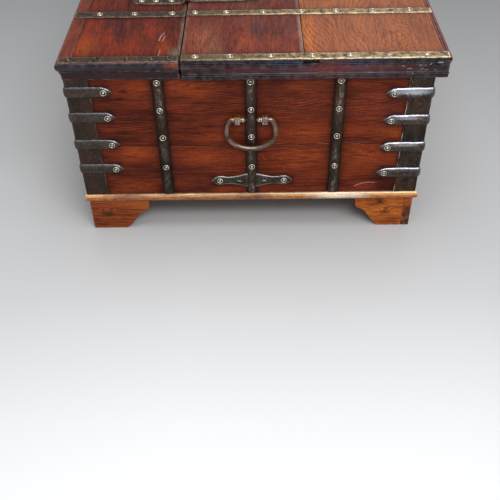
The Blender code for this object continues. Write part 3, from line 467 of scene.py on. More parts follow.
def moulding_rows(shares, relief, height, lip_x, lip_y, width_x, width_y, grooves=()):
    rows = [(relief * inset, relief * inset, TOP_LOW + height * (1 - drop)) for drop, inset in shares]
    ledge = TOP_LOW + height - TOP_BOARD - FIT
    top = TOP_LOW + height
    face = rows[-1]
    inner = (width_x, width_y, TOP_LOW)
    rows += [
        tuple(a + (b - a) * place for a, b in zip(face, inner)) for place in reversed(LIP_EDGE_SHARES)]
    rows += [inner, (width_x, width_y, TOP_LOW + LIP_SKIN), (width_x, width_y, ledge)]
    rows += [(lip_x, lip_y, ledge), (lip_x, lip_y, top)]
    for place in sorted(LIP_EDGE_SHARES + grooves, reverse=True):
        inset_x, inset_y = relief + (lip_x - relief) * place, relief + (lip_y - relief) * place
        steps = ((LIP_GROOVE, 0.0), (0.0, LIP_GROOVE), (-LIP_GROOVE, 0.0)) if place in grooves else ((0.0, 0.0),)
        rows += [(inset_x + shift, inset_y + shift, top - drop) for shift, drop in steps]
    return rows + [(relief, relief, top)]


def ring_at(rows, half_x, half_y, sign_x, sign_y, slip_x=0.0, slip_y=0.0):
    return [
        spot(sign_x * (half_x - in_x - slip_x), sign_y * (half_y - in_y - slip_y), z)
        for in_x, in_y, z in rows]


def chip(bm):
    """A broken place in the lid moulding's top fillet, at the left end."""
    for vert in bm.verts:
        away = abs(vert.co.y - MIDDLE_Y - CHIP_Y) / CHIP_REACH
        if away < 1 and vert.co.x < -HALF_LENGTH and vert.co.z > LID_TOP - CHIP_HEIGHT:
            depth = 1 - away ** 4 + 0.4 * noise.noise(vert.co * 300)
            vert.co += Vector((CHIP_DEPTH * depth, 0, -CHIP_DEPTH * 0.2 * depth))


def rail(node, mat, near, far):
    """A moulded length between two end rings."""
    length = (near[0] - far[0]).length
    count = max(2, round(length / RAIL_STEP))
    rings = [
        [a.lerp(b, step / count) for a, b in zip(near, far)] for step in range(count + 1)]
    bm = bmesh.new()
    skin(bm, rings)
    roughen(bm, node, RAIL_STRAY, RAIL_BUMPS)
    if node == "lid_left_moulding":
        chip(bm)
    return piece(node + "_wood", bm, mat, node)


def mouldings(looks):
    lid_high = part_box("lid_front_moulding")
    lid_half_x = lid_high[1].x
    lid_half_y = MIDDLE_Y - lid_high[0].y
    lid_end = lid_half_x - HALF_LENGTH
    lid_rows = moulding_rows(
        LID_PROFILE_SHARES, LID_RELIEF, LID_TOP - TOP_LOW, LID_LIP, LID_LIP,
        lid_end + WALL, lid_half_y - HALF_DEPTH + WALL, LIP_GROOVE_SHARES)
    fixed_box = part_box("fixed_top_rear_moulding")
    fixed_half_x = fixed_box[1].x
    fixed_half_y = fixed_box[1].y - MIDDLE_Y
    fixed_rows = moulding_rows(
        FIXED_PROFILE_SHARES, FIXED_RELIEF, FIXED_TOP - TOP_LOW, FIXED_END_LIP, FIXED_REAR_LIP,
        fixed_half_x - HALF_LENGTH + WALL, FIXED_REAR_LIP + FIXED_REAR_LEDGE)
    fixed_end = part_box("fixed_top_left_moulding")[0].y - MIDDLE_Y
    for node, rows, half_x, half_y, sign_y in (
            ("lid_front_moulding", lid_rows, lid_half_x, lid_half_y, -1),
            ("fixed_top_rear_moulding", fixed_rows, fixed_half_x, fixed_half_y, 1)):
        ends = [ring_at(rows, half_x, half_y, sign, sign_y, FIT) for sign in (-1, 1)]
        rail(node, looks[("lid" if sign_y < 0 else "fixed") + "_moulding_x"], *ends)
    for label, side in SIDES:
        for node, rows, half_x, half_y, sign_y, end_y in (
                (f"lid_{label}_moulding", lid_rows, lid_half_x, lid_half_y, -1, LID_SEAM_Y),
                (f"fixed_top_{label}_moulding", fixed_rows, fixed_half_x, fixed_half_y, 1, fixed_end)):
            mitre = ring_at(rows, half_x, half_y, side, sign_y, 0, FIT)
            square = [spot(side * (half_x - in_x), end_y, z) for in_x, in_y, z in rows]
            rail(node, looks[("lid" if sign_y < 0 else "fixed") + "_moulding_y"], mitre, square)


def plinth(looks):
    low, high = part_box("front_plinth_rail")
    half_x = high.x
    half_y = MIDDLE_Y - low.y
    overhang = half_x - HALF_LENGTH
    middle, half = (low.z + high.z) / 2, (high.z - low.z) / 2
    rows = []
    for step in range(PLINTH_NOSING_STEPS + 1):
        angle = math.pi / 2 - math.pi * step / PLINTH_NOSING_STEPS
        inset = overhang * (1 - math.cos(angle))
        rows.append((inset, inset, middle + half * math.sin(angle)))
    width = high.y - low.y
    rows += [(width, width, low.z), (width, width, high.z)]
    for place, sign in (("front", -1), ("rear", 1)):
        ends = [ring_at(rows, half_x, half_y, side, sign, FIT) for side in (-1, 1)]
        rail(f"{place}_plinth_rail", looks["plinth_x"], *ends)
    for label, side in SIDES:
        ends = [ring_at(rows, half_x, half_y, side, sign, 0, FIT) for sign in (-1, 1)]
        rail(f"{label}_plinth_rail", looks["plinth_y"], *ends)


# Nails

def add_nail(bm, at, out, draw, share=1.0, shares=NAIL_PROFILE_SHARES):
    """A turned nail head, set by hand and so a little tilted and out of round."""
    turn = Vector(out).to_track_quat("Z", "Y").to_matrix().to_4x4()
    lean = Matrix.Rotation(draw.uniform(-NAIL_TILT, NAIL_TILT), 4, "X") @ Matrix.Rotation(
        draw.uniform(-NAIL_TILT, NAIL_TILT), 4, "Y")
    spin = Matrix.Rotation(draw.uniform(0, math.pi), 4, "Z")
    squash = Matrix.Diagonal((draw.uniform(0.93, 1.04), draw.uniform(0.93, 1.04), draw.uniform(0.85, 1.0), 1))
    place = Matrix.Translation(at) @ turn @ lean @ spin @ squash
    radius, height = NAIL_RADIUS * share, NAIL_HEIGHT * share
    rings = []
    for across, rise in shares[:-1]:
        rings.append([
            place @ Vector((
                radius * across * math.cos(math.tau * i / NAIL_SIDES),
                radius * across * math.sin(math.tau * i / NAIL_SIDES), height * rise))
            for i in range(NAIL_SIDES)])
    start = len(bm.verts)
    skin(bm, rings, caps=False)
    bm.verts.ensure_lookup_table()
    tip = bm.verts.new(place @ Vector((0, 0, height * shares[-1][1])))
    bm.verts.ensure_lookup_table()
    last = bm.verts[start + NAIL_SIDES * (len(rings) - 1):start + NAIL_SIDES * len(rings)]
    first = bm.verts[start:start + NAIL_SIDES]
    for i in range(NAIL_SIDES):
        bm.faces.new((last[i], last[(i + 1) % NAIL_SIDES], tip))
    bm.faces.new(list(reversed(first)))


def nails(name, body, places, looks, look="nail"):
    """All the nails of one iron, at (point, outward direction, share)."""
    draw = random.Random(name)
    bm = bmesh.new()
    for at, out, share in places:
        shares = NAIL_PROFILE_SHARES if share == 1 else PIN_PROFILE_SHARES
        add_nail(bm, at, out, draw, share, shares)
    return piece(name + "_nails", bm, looks[look], None, body)


# Forged straps

def strap_rings(stations, across, shares, name, ragged=STRAP_RAGGED, lift=0.0):
    """Section rings along (centre, out, half width, thickness), with hand-cut edges."""
    shift = seeded(name)
    rings = []
    for centre, out, half, thickness in stations:
        field = centre * 60 + shift
        left = half + ragged * noise.noise(field)
        right = half + ragged * noise.noise(field + Vector((9, 4, 7)))
        swell = 1 + 0.10 * noise.noise(field * 0.8 + Vector((3, 8, 5)))
        ring = []
        for width_share, rise in shares:
            reach = left if width_share < 0 else right
            rise_by = lift + rise * (thickness * swell - lift)
            ring.append(centre + across * (reach * width_share) + out * rise_by)
        rings.append(ring)
    return rings


def spread(start, end, step=STRAP_STEP):
    count = max(2, round((end - start).length / step))
    return [start.lerp(end, i / count) for i in range(count + 1)]


def closed_ends(stations, round_share=0.45):
    """Thin the first and last station so that a strap's cut ends are eased."""
    (a, out_a, half_a, thick_a), (b, out_b, half_b, thick_b) = stations[0], stations[-1]
    first = (a, out_a, half_a, thick_a * round_share)
    last = (b, out_b, half_b, thick_b * round_share)
    return [first] + [
        (a.lerp(stations[1][0], 0.2), out_a, half_a, thick_a)] + stations[1:-1] + [
        (b.lerp(stations[-2][0], 0.2), out_b, half_b, thick_b)] + [last]


def forge(bm, stations, across, shares, name, ragged=STRAP_RAGGED):
    skin(bm, strap_rings(stations, across, shares, name, ragged, FIT))


def finish_iron(node, bm, mat):
    roughen(bm, node, IRON_STRAY, IRON_BUMPS)
    return piece(node + "_iron", bm, mat, node)


def mark_crest(obj, foot_point, out, thickness):
    """Rubbed metal along the ridge of a strap, and soiling with painted shade on its flanges."""
    wear, grime = obj.data.attributes["wear"], obj.data.attributes["grime"]
    for vert in obj.data.vertices:
        rise = (vert.co - foot_point).dot(out) / thickness
        wear.data[vert.index].value = min(max((rise - 0.86) / 0.14, 0), 1)
        grime.data[vert.index].value = min(max((0.50 - rise) / 0.25, 0), 1)


def wall_strap(bm, name, foot_point, out, across):
    """An upright strap with a ridge, beaten down at its nails."""
    bottom = foot_point + Z_AXIS * 0.0006
    top = foot_point + Z_AXIS * (BODY_HEIGHT - 0.0006)
    stations = []
    for point in spread(bottom, top):
        share = (point.z - BODY_LOW) / BODY_HEIGHT
        dip = max(math.exp(-((share - nail) / 0.030) ** 2) for nail in WALL_NAIL_SHARES)
        stations.append((point, out, STRAP_WIDTH / 2 * (1 + 0.03 * dip), STRAP_THICKNESS * (1 - 0.12 * dip)))
    forge(bm, closed_ends(stations), across, RIDGE_SHARES, name)
    half = across * (STRAP_WIDTH / 2)
    iron_footprint(bottom - half, top + half + out * STRAP_THICKNESS)


def wall_nails(foot_point, out):
    return [
        (foot_point + Z_AXIS * (BODY_HEIGHT * share) + out * STRAP_THICKNESS * 0.86, out, 1)
        for share in WALL_NAIL_SHARES]


def cross_plate(bm, name, centre, out, across):
    half = PLATE_LENGTH / 2
    stations = []
    for point in spread(centre - across * half, centre + across * half, PLATE_STEP):
        share = abs((point - centre).dot(across)) / half
        size = along(PLATE_WIDTH_SHARES, share)
        stations.append((point, out, PLATE_HALF_HEIGHT * size, PLATE_THICKNESS))
    forge(bm, stations, Z_AXIS, PLATE_SHARES, name, PLATE_RAGGED)
    for sign in (-1, 1):
        dent = centre + across * (sign * PLATE_DENT_AWAY) + Z_AXIS * PLATE_DENT_RISE
        for vert in bm.verts:
            off = vert.co - dent
            away = math.hypot(off.dot(across), off.z * 1.6) / PLATE_DENT_REACH
            if away < 1 and off.dot(out) > PLATE_THICKNESS / 2:
                vert.co -= out * (PLATE_DENT_DEPTH * (1 - away ** 2) ** 2)
    iron_footprint(centre - across * half - Z_AXIS * 0.010, centre + across * half + Z_AXIS * 0.010)


def end_irons(label, side, looks):
    out = X_AXIS * side
    for place, y in (("front", -END_STRAP_Y), ("center", END_CENTER_Y), ("rear", END_STRAP_Y)):
        node = f"{label}_end_{place}_strap"
        foot_point = spot(side * HALF_LENGTH, y, BODY_LOW)
        bm = bmesh.new()
        wall_strap(bm, node, foot_point, out, Y_AXIS)
        places = wall_nails(foot_point, out)
        plate_places = []
        if place == "center":
            centre = foot_point + Z_AXIS * PLATE_RISE
            plate = bmesh.new()
            cross_plate(plate, node + "_plate", centre, out, Y_AXIS)
            roughen(plate, node + "_plate", IRON_STRAY, IRON_BUMPS)
            piece(node + "_plate", plate, looks["plate"], None, "carcass")
            for sign in (-1, 1):
                shift = Y_AXIS * (sign * PLATE_LENGTH / 2 * PLATE_NAIL_SHARE)
                plate_places.append((centre + shift + out * PLATE_THICKNESS, out, 1))
            nails(node + "_plate", "carcass", plate_places, looks, "gold_nail")
        mark_crest(finish_iron(node, bm, looks["iron"]), foot_point, out, STRAP_THICKNESS)
        nails(node, "carcass", places, looks)


def long_side_irons(looks):
    for label, side in SIDES:
        node = f"front_{label}_strap"
        foot_point = spot(side * FRONT_STRAP_X, -HALF_DEPTH, BODY_LOW)
        bm = bmesh.new()
        wall_strap(bm, node, foot_point, -Y_AXIS, X_AXIS)
        mark_crest(finish_iron(node, bm, looks["iron"]), foot_point, -Y_AXIS, STRAP_THICKNESS)
        nails(node, "carcass", wall_nails(foot_point, -Y_AXIS), looks)
    for place, x in (("left", -FRONT_STRAP_X), ("middle", 0), ("right", FRONT_STRAP_X)):
        name = f"rear_{place}_strap"
        foot_point = spot(x, HALF_DEPTH, BODY_LOW)
        bm = bmesh.new()
        wall_strap(bm, name, foot_point, Y_AXIS, X_AXIS)
        roughen(bm, name, IRON_STRAY, IRON_BUMPS)
        strap = piece(name + "_iron", bm, looks["iron"], None, "carcass")
        mark_crest(strap, foot_point, Y_AXIS, STRAP_THICKNESS)
        nails(name, "carcass", wall_nails(foot_point, Y_AXIS), looks)


# Corner irons

def corner_path(sign_x, sign_y, height, reach, bend, step):
    """Points and outward directions from the end face round a corner to the long face."""
    end_out, side_out = X_AXIS * sign_x, Y_AXIS * sign_y
    centre = spot(sign_x * (HALF_LENGTH - bend), sign_y * (HALF_DEPTH - bend), height)
    start = centre + end_out * bend - side_out * (reach - bend)
    finish = centre + side_out * bend - end_out * (reach - bend)
    path = [(point, end_out) for point in spread(start, centre + end_out * bend, step)]
    for turn in range(1, 6):
        angle = math.pi / 2 * turn / 6
        out = end_out * math.cos(angle) + side_out * math.sin(angle)
        path.append((centre + out * bend, out))
    return path + [(point, side_out) for point in spread(centre + side_out * bend, finish, step)]


def finger(bm, name, sign_x, sign_y, height):
    """A forged finger round the corner, with a leaf tip at each end."""
    corner = spot(sign_x * HALF_LENGTH, sign_y * HALF_DEPTH, height)
    stations = []
    for point, out in corner_path(sign_x, sign_y, height, FINGER_LENGTH, 0.0012, STRAP_STEP * 0.8):
        share = min((point - corner).length / FINGER_LENGTH, 1)
        size = along(FINGER_WIDTH_SHARES, share)
        dip = math.exp(-((share - FINGER_NAIL_SHARE) / 0.06) ** 2)
        thick = FINGER_THICKNESS * (1 - 0.12 * dip) * (1 - 0.55 * max(0, share - 0.9) / 0.1)
        stations.append((point, out, FINGER_WIDTH / 2 * size, thick))
    forge(bm, stations, Z_AXIS, DOME_SHARES, name)
    half = FINGER_WIDTH / 2
    for out, back in ((X_AXIS * sign_x, Y_AXIS * sign_y), (Y_AXIS * sign_y, X_AXIS * sign_x)):
        iron_footprint(corner - Z_AXIS * half, corner + Z_AXIS * half - back * FINGER_LENGTH * 0.9)


def corner_sheet(bm, name, sign_x, sign_y):
    """The angle sheet, with a ragged inner edge on both faces."""
    shift = seeded(name)
    rings = []
    levels = spread(Z_AXIS * (BODY_LOW + 0.0006), Z_AXIS * (BODY_TOP - 0.0006), 0.003)
    for level in levels:
        reach = SHEET_WIDTH + SHEET_RAGGED * noise.noise(level * 55 + shift)
        reach += SHEET_RAGGED * 0.7 * noise.noise(level * 210 + shift)
        path = corner_path(sign_x, sign_y, level.z, reach, SHEET_BEND, 0.006)
        for near, far in ((0, 1), (-1, -2)):
            (edge, out), (inward, _) = path[near], path[far]
            rim_point = (edge + (inward - edge).normalized() * SHEET_RIM, out)
            path.insert(far if near == 0 else len(path) - 1, rim_point)
        outer = [point + out * SHEET_THICKNESS for point, out in path]
        inner = [point + out * FIT for point, out in path]
        rings.append(outer + inner[::-1])
    skin(bm, rings)
    bm.verts.ensure_lookup_table()
    rim = bm.verts.layers.float.new("rim")
    for start in range(0, len(bm.verts), len(rings[0])):
        for place in (0, len(path) - 1):
            bm.verts[start + place][rim] = 1.0
    corner = spot(sign_x * HALF_LENGTH, sign_y * HALF_DEPTH, BODY_LOW)
    for back in (Y_AXIS * sign_y, X_AXIS * sign_x):
        iron_footprint(corner, corner + Z_AXIS * BODY_HEIGHT - back * SHEET_WIDTH)


def mark_rim(obj, amount):
    """Rubbed metal in lengths along the inner edges of a sheet, and nowhere else."""
    wear, rim = obj.data.attributes["wear"], obj.data.attributes["rim"]
    for vert in obj.data.vertices:
        share = min(max(0.6 + SHEET_RIM_BREAKS * noise.noise(vert.co * SHEET_RIM_BUMPS), 0), 1)
        wear.data[vert.index].value = rim.data[vert.index].value * amount * share


def corner_irons(looks):
    for place, sign_y, shares in (("front", -1, FRONT_FINGER_SHARES), ("rear", 1, REAR_FINGER_SHARES)):
        for label, sign_x in SIDES:
            node = f"corner_iron_{place}_{label}"
            sheet = bmesh.new()
            corner_sheet(sheet, node, sign_x, sign_y)
            roughen(sheet, node + "_sheet", IRON_STRAY, IRON_BUMPS)
            sheet_piece = piece(node + "_sheet", sheet, looks["sheet"], None, "carcass")
            mark_rim(sheet_piece, SHEET_RIM_WEAR[place])
            bm = bmesh.new()
            places = []
            for count, share in enumerate(shares):
                level = BODY_LOW + BODY_HEIGHT * share
                finger(bm, f"{node}_finger_{count}", sign_x, sign_y, level)
                corner = spot(sign_x * HALF_LENGTH, sign_y * HALF_DEPTH, level)
                run = FINGER_LENGTH * FINGER_NAIL_SHARE
                for out, back in ((X_AXIS * sign_x, Y_AXIS * sign_y), (Y_AXIS * sign_y, X_AXIS * sign_x)):
                    places.append((corner - back * run + out * FINGER_THICKNESS * 0.86, out, 1))
            finish_iron(node, bm, looks["finger"])
            nails(node, "carcass", places, looks)


# Straps on the top

def top_strap(node, x, near, far, level, width, shares, looks, mat, pins=0, body=None, nail="nail"):
    """A thin strap over the top, beaten down at its nails."""
    start, end = spot(x, near, level), spot(x, far, level)
    stations = []
    for point in spread(start, end):
        share = (point - start).length / (end - start).length
        dip = max(math.exp(-((share - nail) / 0.022) ** 2) for nail in shares)
        stations.append((point, Z_AXIS, width / 2 * (1 + 0.02 * dip), TOP_STRAP_THICKNESS * (1 - 0.2 * dip)))
    bm = bmesh.new()
    forge(bm, closed_ends(stations), X_AXIS, FLAT_SHARES, node, TOP_STRAP_RAGGED)
    places = []
    for count, share in enumerate(shares):
        size = PIN_SHARE if count >= len(shares) - pins else 1
        places.append((start.lerp(end, share) + Z_AXIS * TOP_STRAP_THICKNESS * 0.8, Z_AXIS, size))
    half = X_AXIS * (width / 2)
    iron_footprint(start - half, end + half)
    if body:
        roughen(bm, node, IRON_STRAY, IRON_BUMPS)
        piece(node + "_iron", bm, mat, None, body)
    else:
        finish_iron(node, bm, mat)
    nails(node, body or BODY_OF[node], places, looks, nail)


def top_irons(looks):
    for label, side in SIDES:
        for node, shares, width, pins in (
                (f"lid_{label}_edge_strap", LID_EDGE_NAIL_SHARES, EDGE_STRAP_WIDTH, LID_EDGE_PINS),
                (f"lid_{label}_strap", LID_STRAP_NAIL_SHARES, LID_STRAP_WIDTH, 0)):
            low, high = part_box(node)
            x = (low.x + high.x) / 2
            top_strap(
                node, x, high.y - MIDDLE_Y, low.y - MIDDLE_Y, LID_TOP, width, shares, looks, looks["lid_iron"],
                pins, None, "gold_nail")
        for node, shares, width in (
                (f"fixed_top_{label}_edge_strap", FIXED_EDGE_NAIL_SHARES, EDGE_STRAP_WIDTH),
                (f"fixed_top_{label}_strap", FIXED_STRAP_NAIL_SHARES, FIXED_STRAP_WIDTH)):
            low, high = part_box(node)
            x = (low.x + high.x) / 2
            top_strap(
                node, x, low.y - MIDDLE_Y, high.y - MIDDLE_Y, FIXED_TOP, width, shares, looks,
                looks["old_strap"], 0, None, "old_nail" if "edge" in node else "gold_nail")
    top_strap(
        "fixed_center_strap", 0, FIXED_SEAM_Y + 0.0006, FIXED_HIGH.y - MIDDLE_Y - 0.001, FIXED_TOP,
        0.036, FIXED_STRAP_NAIL_SHARES, looks, looks["old_strap"], 0, "carcass", "gold_nail")


# Feet

def bracket_bottom(away, top_width, base_width):
    """Height of a bracket's lower edge at a distance from the corner."""
    lip = top_width - (top_width - base_width) * FOOT_LIP_STEP_SHARE
    if away <= base_width:
        return 0.0
    if away <= lip:
        share = (lip - away) / (lip - base_width)
        return FOOT_HEIGHT * FOOT_SHOULDER_SHARE * (1 + math.cos(math.pi * share)) / 2
    share = (away - lip) / (top_width - lip)
    return FOOT_HEIGHT * (FOOT_SHOULDER_SHARE + (FOOT_LIP_SHARE - FOOT_SHOULDER_SHARE) * share)


def bracket(name, corner, start, run_axis, deep_axis, widths):
    """A bracket lofted from the corner along its run, with eased edges."""
    top_width = widths[0]
    count = round((top_width - start) / FOOT_STEP)
    reach = [start, start + FOOT_EASE]
    reach += [start + (top_width - start) * i / count for i in range(1, count)]
    reach += [top_width - FOOT_EASE, top_width]
    rings = []
    for index, away in enumerate(reach):
        inset = FOOT_EASE if index in (0, len(reach) - 1) else 0.0
        low, high = bracket_bottom(away, *widths) + inset, FOOT_HEIGHT - inset
        near, far = inset, FOOT_BRACKET - inset
        deeps = [near + FOOT_EASE, (near + far) / 2, far - FOOT_EASE]
        levels = [low + FOOT_EASE + (high - low - FOOT_EASE * 2) * i / 12 for i in range(13)]
        ring = [(deep, low) for deep in deeps] + [(far, level) for level in levels]
        ring += [(deep, high) for deep in reversed(deeps)] + [(near, level) for level in reversed(levels)]
        rings.append([corner + run_axis * away + deep_axis * deep + Z_AXIS * level for deep, level in ring])
    bm = bmesh.new()
    skin(bm, rings)
    roughen(bm, name, BOARD_STRAY, BOARD_BUMPS)
    return bm


def feet(looks):
    for place, sign_y in (("front", -1), ("rear", 1)):
        for label, sign_x in SIDES:
            node = f"foot_{place}_{label}"
            corner = spot(sign_x * (HALF_LENGTH - FOOT_INSET), sign_y * (HALF_DEPTH - FOOT_INSET), 0)
            back_x, back_y = X_AXIS * -sign_x, Y_AXIS * -sign_y
            behind = FOOT_BRACKET + FIT
            starts = (0.0, behind) if place == "front" else (behind, 0.0)
            side_bracket = bracket(node, corner, starts[0], back_x, back_y, FOOT_WIDTHS[place])
            piece(node + "_side_bracket", side_bracket, looks[f"foot_{place}_x"], node)
            end_bracket = bracket(node + "_end", corner, starts[1], back_y, back_x, FOOT_WIDTHS[place])
            piece(node + "_end_bracket", end_bracket, looks[f"foot_{place}_y"], None, "carcass")
            near = FOOT_BRACKET + FIT
            far = FOOT_BRACKET + FOOT_BLOCK
            first = corner + (back_x + back_y) * near + Z_AXIS * FOOT_BLOCK_DROP
            last = corner + (back_x + back_y) * far + Z_AXIS * (FOOT_HEIGHT - FIT)
            low = Vector([min(a, b) for a, b in zip(first, last)])
            high = Vector([max(a, b) for a, b in zip(first, last)])
            block = board_mesh(low, high, 0.001, 0.008)
            piece(node + "_block", block, looks[f"foot_{place}_y"], None, "carcass")


# Hinges, hasp and staple

def turned_rings(start, axis, length, radius, shares, sides=KNUCKLE_SIDES):
    """Circles along an axis for a profile of (place share, radius share)."""
    turn = axis.to_track_quat("Z", "Y").to_matrix()
    return [
        [
            start + axis * (length * place) + turn @ Vector((
                radius * size * math.cos(math.tau * i / sides), radius * size * math.sin(math.tau * i / sides), 0))
            for i in range(sides)]
        for place, size in shares]


def barrel(bm, x, width, root, radius):
    start = Vector((x - width / 2 + KNUCKLE_GAP / 2, root.y, root.z))
    skin(bm, turned_rings(start, X_AXIS, width - KNUCKLE_GAP, radius, BARREL_SHARES))


def knuckle_spans(x, width):
    """Middle span and the two outer spans of a three part knuckle, as (centre, width)."""
    middle = width * KNUCKLE_SHARE
    outer = (width - middle) / 2
    shift = (middle + outer) / 2
    return [(x, middle)], [(x - shift, outer), (x + shift, outer)]


def fine_stations(knots, out=Z_AXIS, step=STRAP_STEP):
    """Stations in small steps through (point, half width, thickness) knots."""
    found = []
    for (a, half_a, thick_a), (b, half_b, thick_b) in zip(knots, knots[1:]):
        count = max(1, round((b - a).length / step))
        for i in range(count):
            t = i / count
            found.append((a.lerp(b, t), out, half_a + (half_b - half_a) * t, thick_a + (thick_b - thick_a) * t))
    point, half, thick = knots[-1]
    return found + [(point, out, half, thick)]


def tongues(bm, spans, root, start, thickness, radius, direction, name):
    """Short necks from a leaf's edge to its own barrels."""
    for count, (x, width) in enumerate(spans):
        barrel(bm, x, width, root, radius)
        near = Vector((x, root.y, root.z - thickness / 2)) + direction * (radius * 0.4)
        far = Vector((x, start.y, start.z)) + direction * 0.0015
        knots = [(near, width / 2 - FIT, thickness), (far, width / 2 - FIT, thickness)]
        forge(bm, fine_stations(knots), X_AXIS, FLAT_SHARES, f"{name}_tongue_{count}")


def leaf(bm, name, root, direction, length, level, spans):
    """A hinge leaf that leaves its barrels, slopes down and ends in a point."""
    half = HINGE_WIDTH / 2
    on_top = Vector((root.x, root.y, level))
    climb = root.z - HINGE_THICKNESS / 2
    ramp_run = HINGE_RAMP if climb - level > KNUCKLE_RADIUS else KNUCKLE_RADIUS * 2
    clear = KNUCKLE_RADIUS + RUNNING_GAP
    start = on_top + direction * clear + Z_AXIS * ((climb - level) * (1 - clear / ramp_run))
    knots = [(start, half, HINGE_THICKNESS), (on_top + direction * ramp_run, half, HINGE_THICKNESS)]
    tip = length * HINGE_TIP_RUN_SHARE
    for place, size in HINGE_TIP_SHARES:
        knots.append((on_top + direction * (length - tip * (1 - place)), half * size, HINGE_THICKNESS))
    forge(bm, fine_stations(knots), X_AXIS, FLAT_SHARES, name)
    tongues(bm, spans, root, start, HINGE_THICKNESS, KNUCKLE_RADIUS, direction, name)
    return [
        (on_top + direction * (length * share) + Z_AXIS * (HINGE_THICKNESS * 0.85), Z_AXIS, 1)
        for share in HINGE_NAIL_SHARES]


def rivet(name, looks):
    """A hinge pin with a rounded head at each end."""
    low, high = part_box(name)
    middle = (low + high) / 2
    radius = (high.z - low.z) / 2
    bm = bmesh.new()
    half = (high.x - low.x) / 2
    head = radius * 0.4
    for side in (-1, 1):
        outer = middle + X_AXIS * (side * half)
        skin(bm, turned_rings(outer, X_AXIS * -side, head, radius, RIVET_SHARES))
    stem = turned_rings(
        middle - X_AXIS * (half - head), X_AXIS, (half - head) * 2, radius * 0.6, ((0.0, 1.0), (1.0, 1.0)))
    skin(bm, stem)
    roughen(bm, name, IRON_STRAY / 3, IRON_BUMPS)
    piece(name + "_rivet", bm, looks["steel"], name)


def hinges(looks):
    for label, side in SIDES:
        pin_low, pin_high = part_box(f"{label}_hinge_pin")
        root = (pin_low + pin_high) / 2
        middle, outer = knuckle_spans(root.x, HINGE_WIDTH)
        rear, front = f"{label}_hinge_rear_leaf", f"{label}_hinge_lid_leaf"
        for node, direction, level, spans, body in (
                (rear, Y_AXIS, FIXED_TOP, outer, "carcass"), (front, -Y_AXIS, LID_TOP, middle, "lid")):
            low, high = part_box(node)
            length = (high.y - root.y) if direction.y > 0 else (root.y - low.y)
            bm = bmesh.new()
            places = leaf(bm, node, root, direction, length, level, spans)
            finish_iron(node, bm, looks["old_strap"])
            nails(node, body, places, looks, "gold_nail")
            iron_footprint(
                Vector((root.x - HINGE_WIDTH / 2, root.y, level)),
                Vector((root.x + HINGE_WIDTH / 2, root.y, level)) + direction * length * 0.8)
        rivet(f"{label}_hinge_pin", looks)


def hasp_root():
    low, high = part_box("hasp_pin")
    return (low + high) / 2


def hasp_plate(looks):
    root = hasp_root()
    middle, outer = knuckle_spans(0, HASP_PLATE_WIDTH)
    length = MIDDLE_Y + LID_SEAM_Y - root.y - 0.0012
    half = HASP_PLATE_WIDTH / 2
    on_top = Vector((0, root.y, LID_TOP))
    edge_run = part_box("lid_front_board")[0].y - LID_LIP + LID_RELIEF - root.y
    clear = HASP_KNUCKLE + HASP_THICKNESS / 2 + RUNNING_GAP
    climb = root.z - HASP_PLATE_THICKNESS / 2 - LID_TOP
    start = on_top + Y_AXIS * clear + Z_AXIS * max(climb * (1 - clear / edge_run), 0.0)
    knots = [(start, half, HASP_PLATE_THICKNESS)]
    knots.append((on_top + Y_AXIS * max(edge_run, clear + 0.003), half, HASP_PLATE_THICKNESS))
    for place, size in HASP_PLATE_SHARES:
        knots.append((on_top + Y_AXIS * (length * place), half * size, HASP_PLATE_THICKNESS))
    bm = bmesh.new()
    forge(bm, fine_stations(knots), X_AXIS, FLAT_SHARES, "hasp_plate")
    tongues(bm, outer, root, start, HASP_PLATE_THICKNESS, HASP_KNUCKLE, Y_AXIS, "hasp_plate")
    finish_iron("hasp_plate", bm, looks["old_strap"])
    places = [
        (on_top + Y_AXIS * (length * share) + Z_AXIS * (HASP_PLATE_THICKNESS * 0.85), Z_AXIS, 1)
        for share in HASP_PLATE_NAIL_SHARES]
    nails("hasp_plate", "lid", places, looks, "gold_nail")
    iron_footprint(on_top - X_AXIS * half * 0.6, on_top + X_AXIS * half * 0.6 + Y_AXIS * length)
    rivet("hasp_pin", looks)


def without(bm, low, high):
    """Cut a square hole out of a mesh."""
    mesh = bpy.data.meshes.new("solid")
    bm.to_mesh(mesh)
    bm.free()
    cutter_bm = bmesh.new()
    bmesh.ops.create_cube(cutter_bm, size=1.0)
    for vert in cutter_bm.verts:
        vert.co = Vector([a + (b - a) * (c + 0.5) for a, b, c in zip(low, high, vert.co)])
    cutter_mesh = bpy.data.meshes.new("hole")
    cutter_bm.to_mesh(cutter_mesh)
    cutter_bm.free()
    solid, cutter = bpy.data.objects.new("solid", mesh), bpy.data.objects.new("hole", cutter_mesh)
    for obj in (solid, cutter):
        bpy.context.scene.collection.objects.link(obj)
    change = solid.modifiers.new("hole", "BOOLEAN")
    change.object = cutter
    change.solver = "EXACT"
    bpy.context.view_layer.update()
    result = bmesh.new()
    result.from_object(solid, bpy.context.evaluated_depsgraph_get())
    for obj in (solid, cutter):
        bpy.data.objects.remove(obj)
    return result


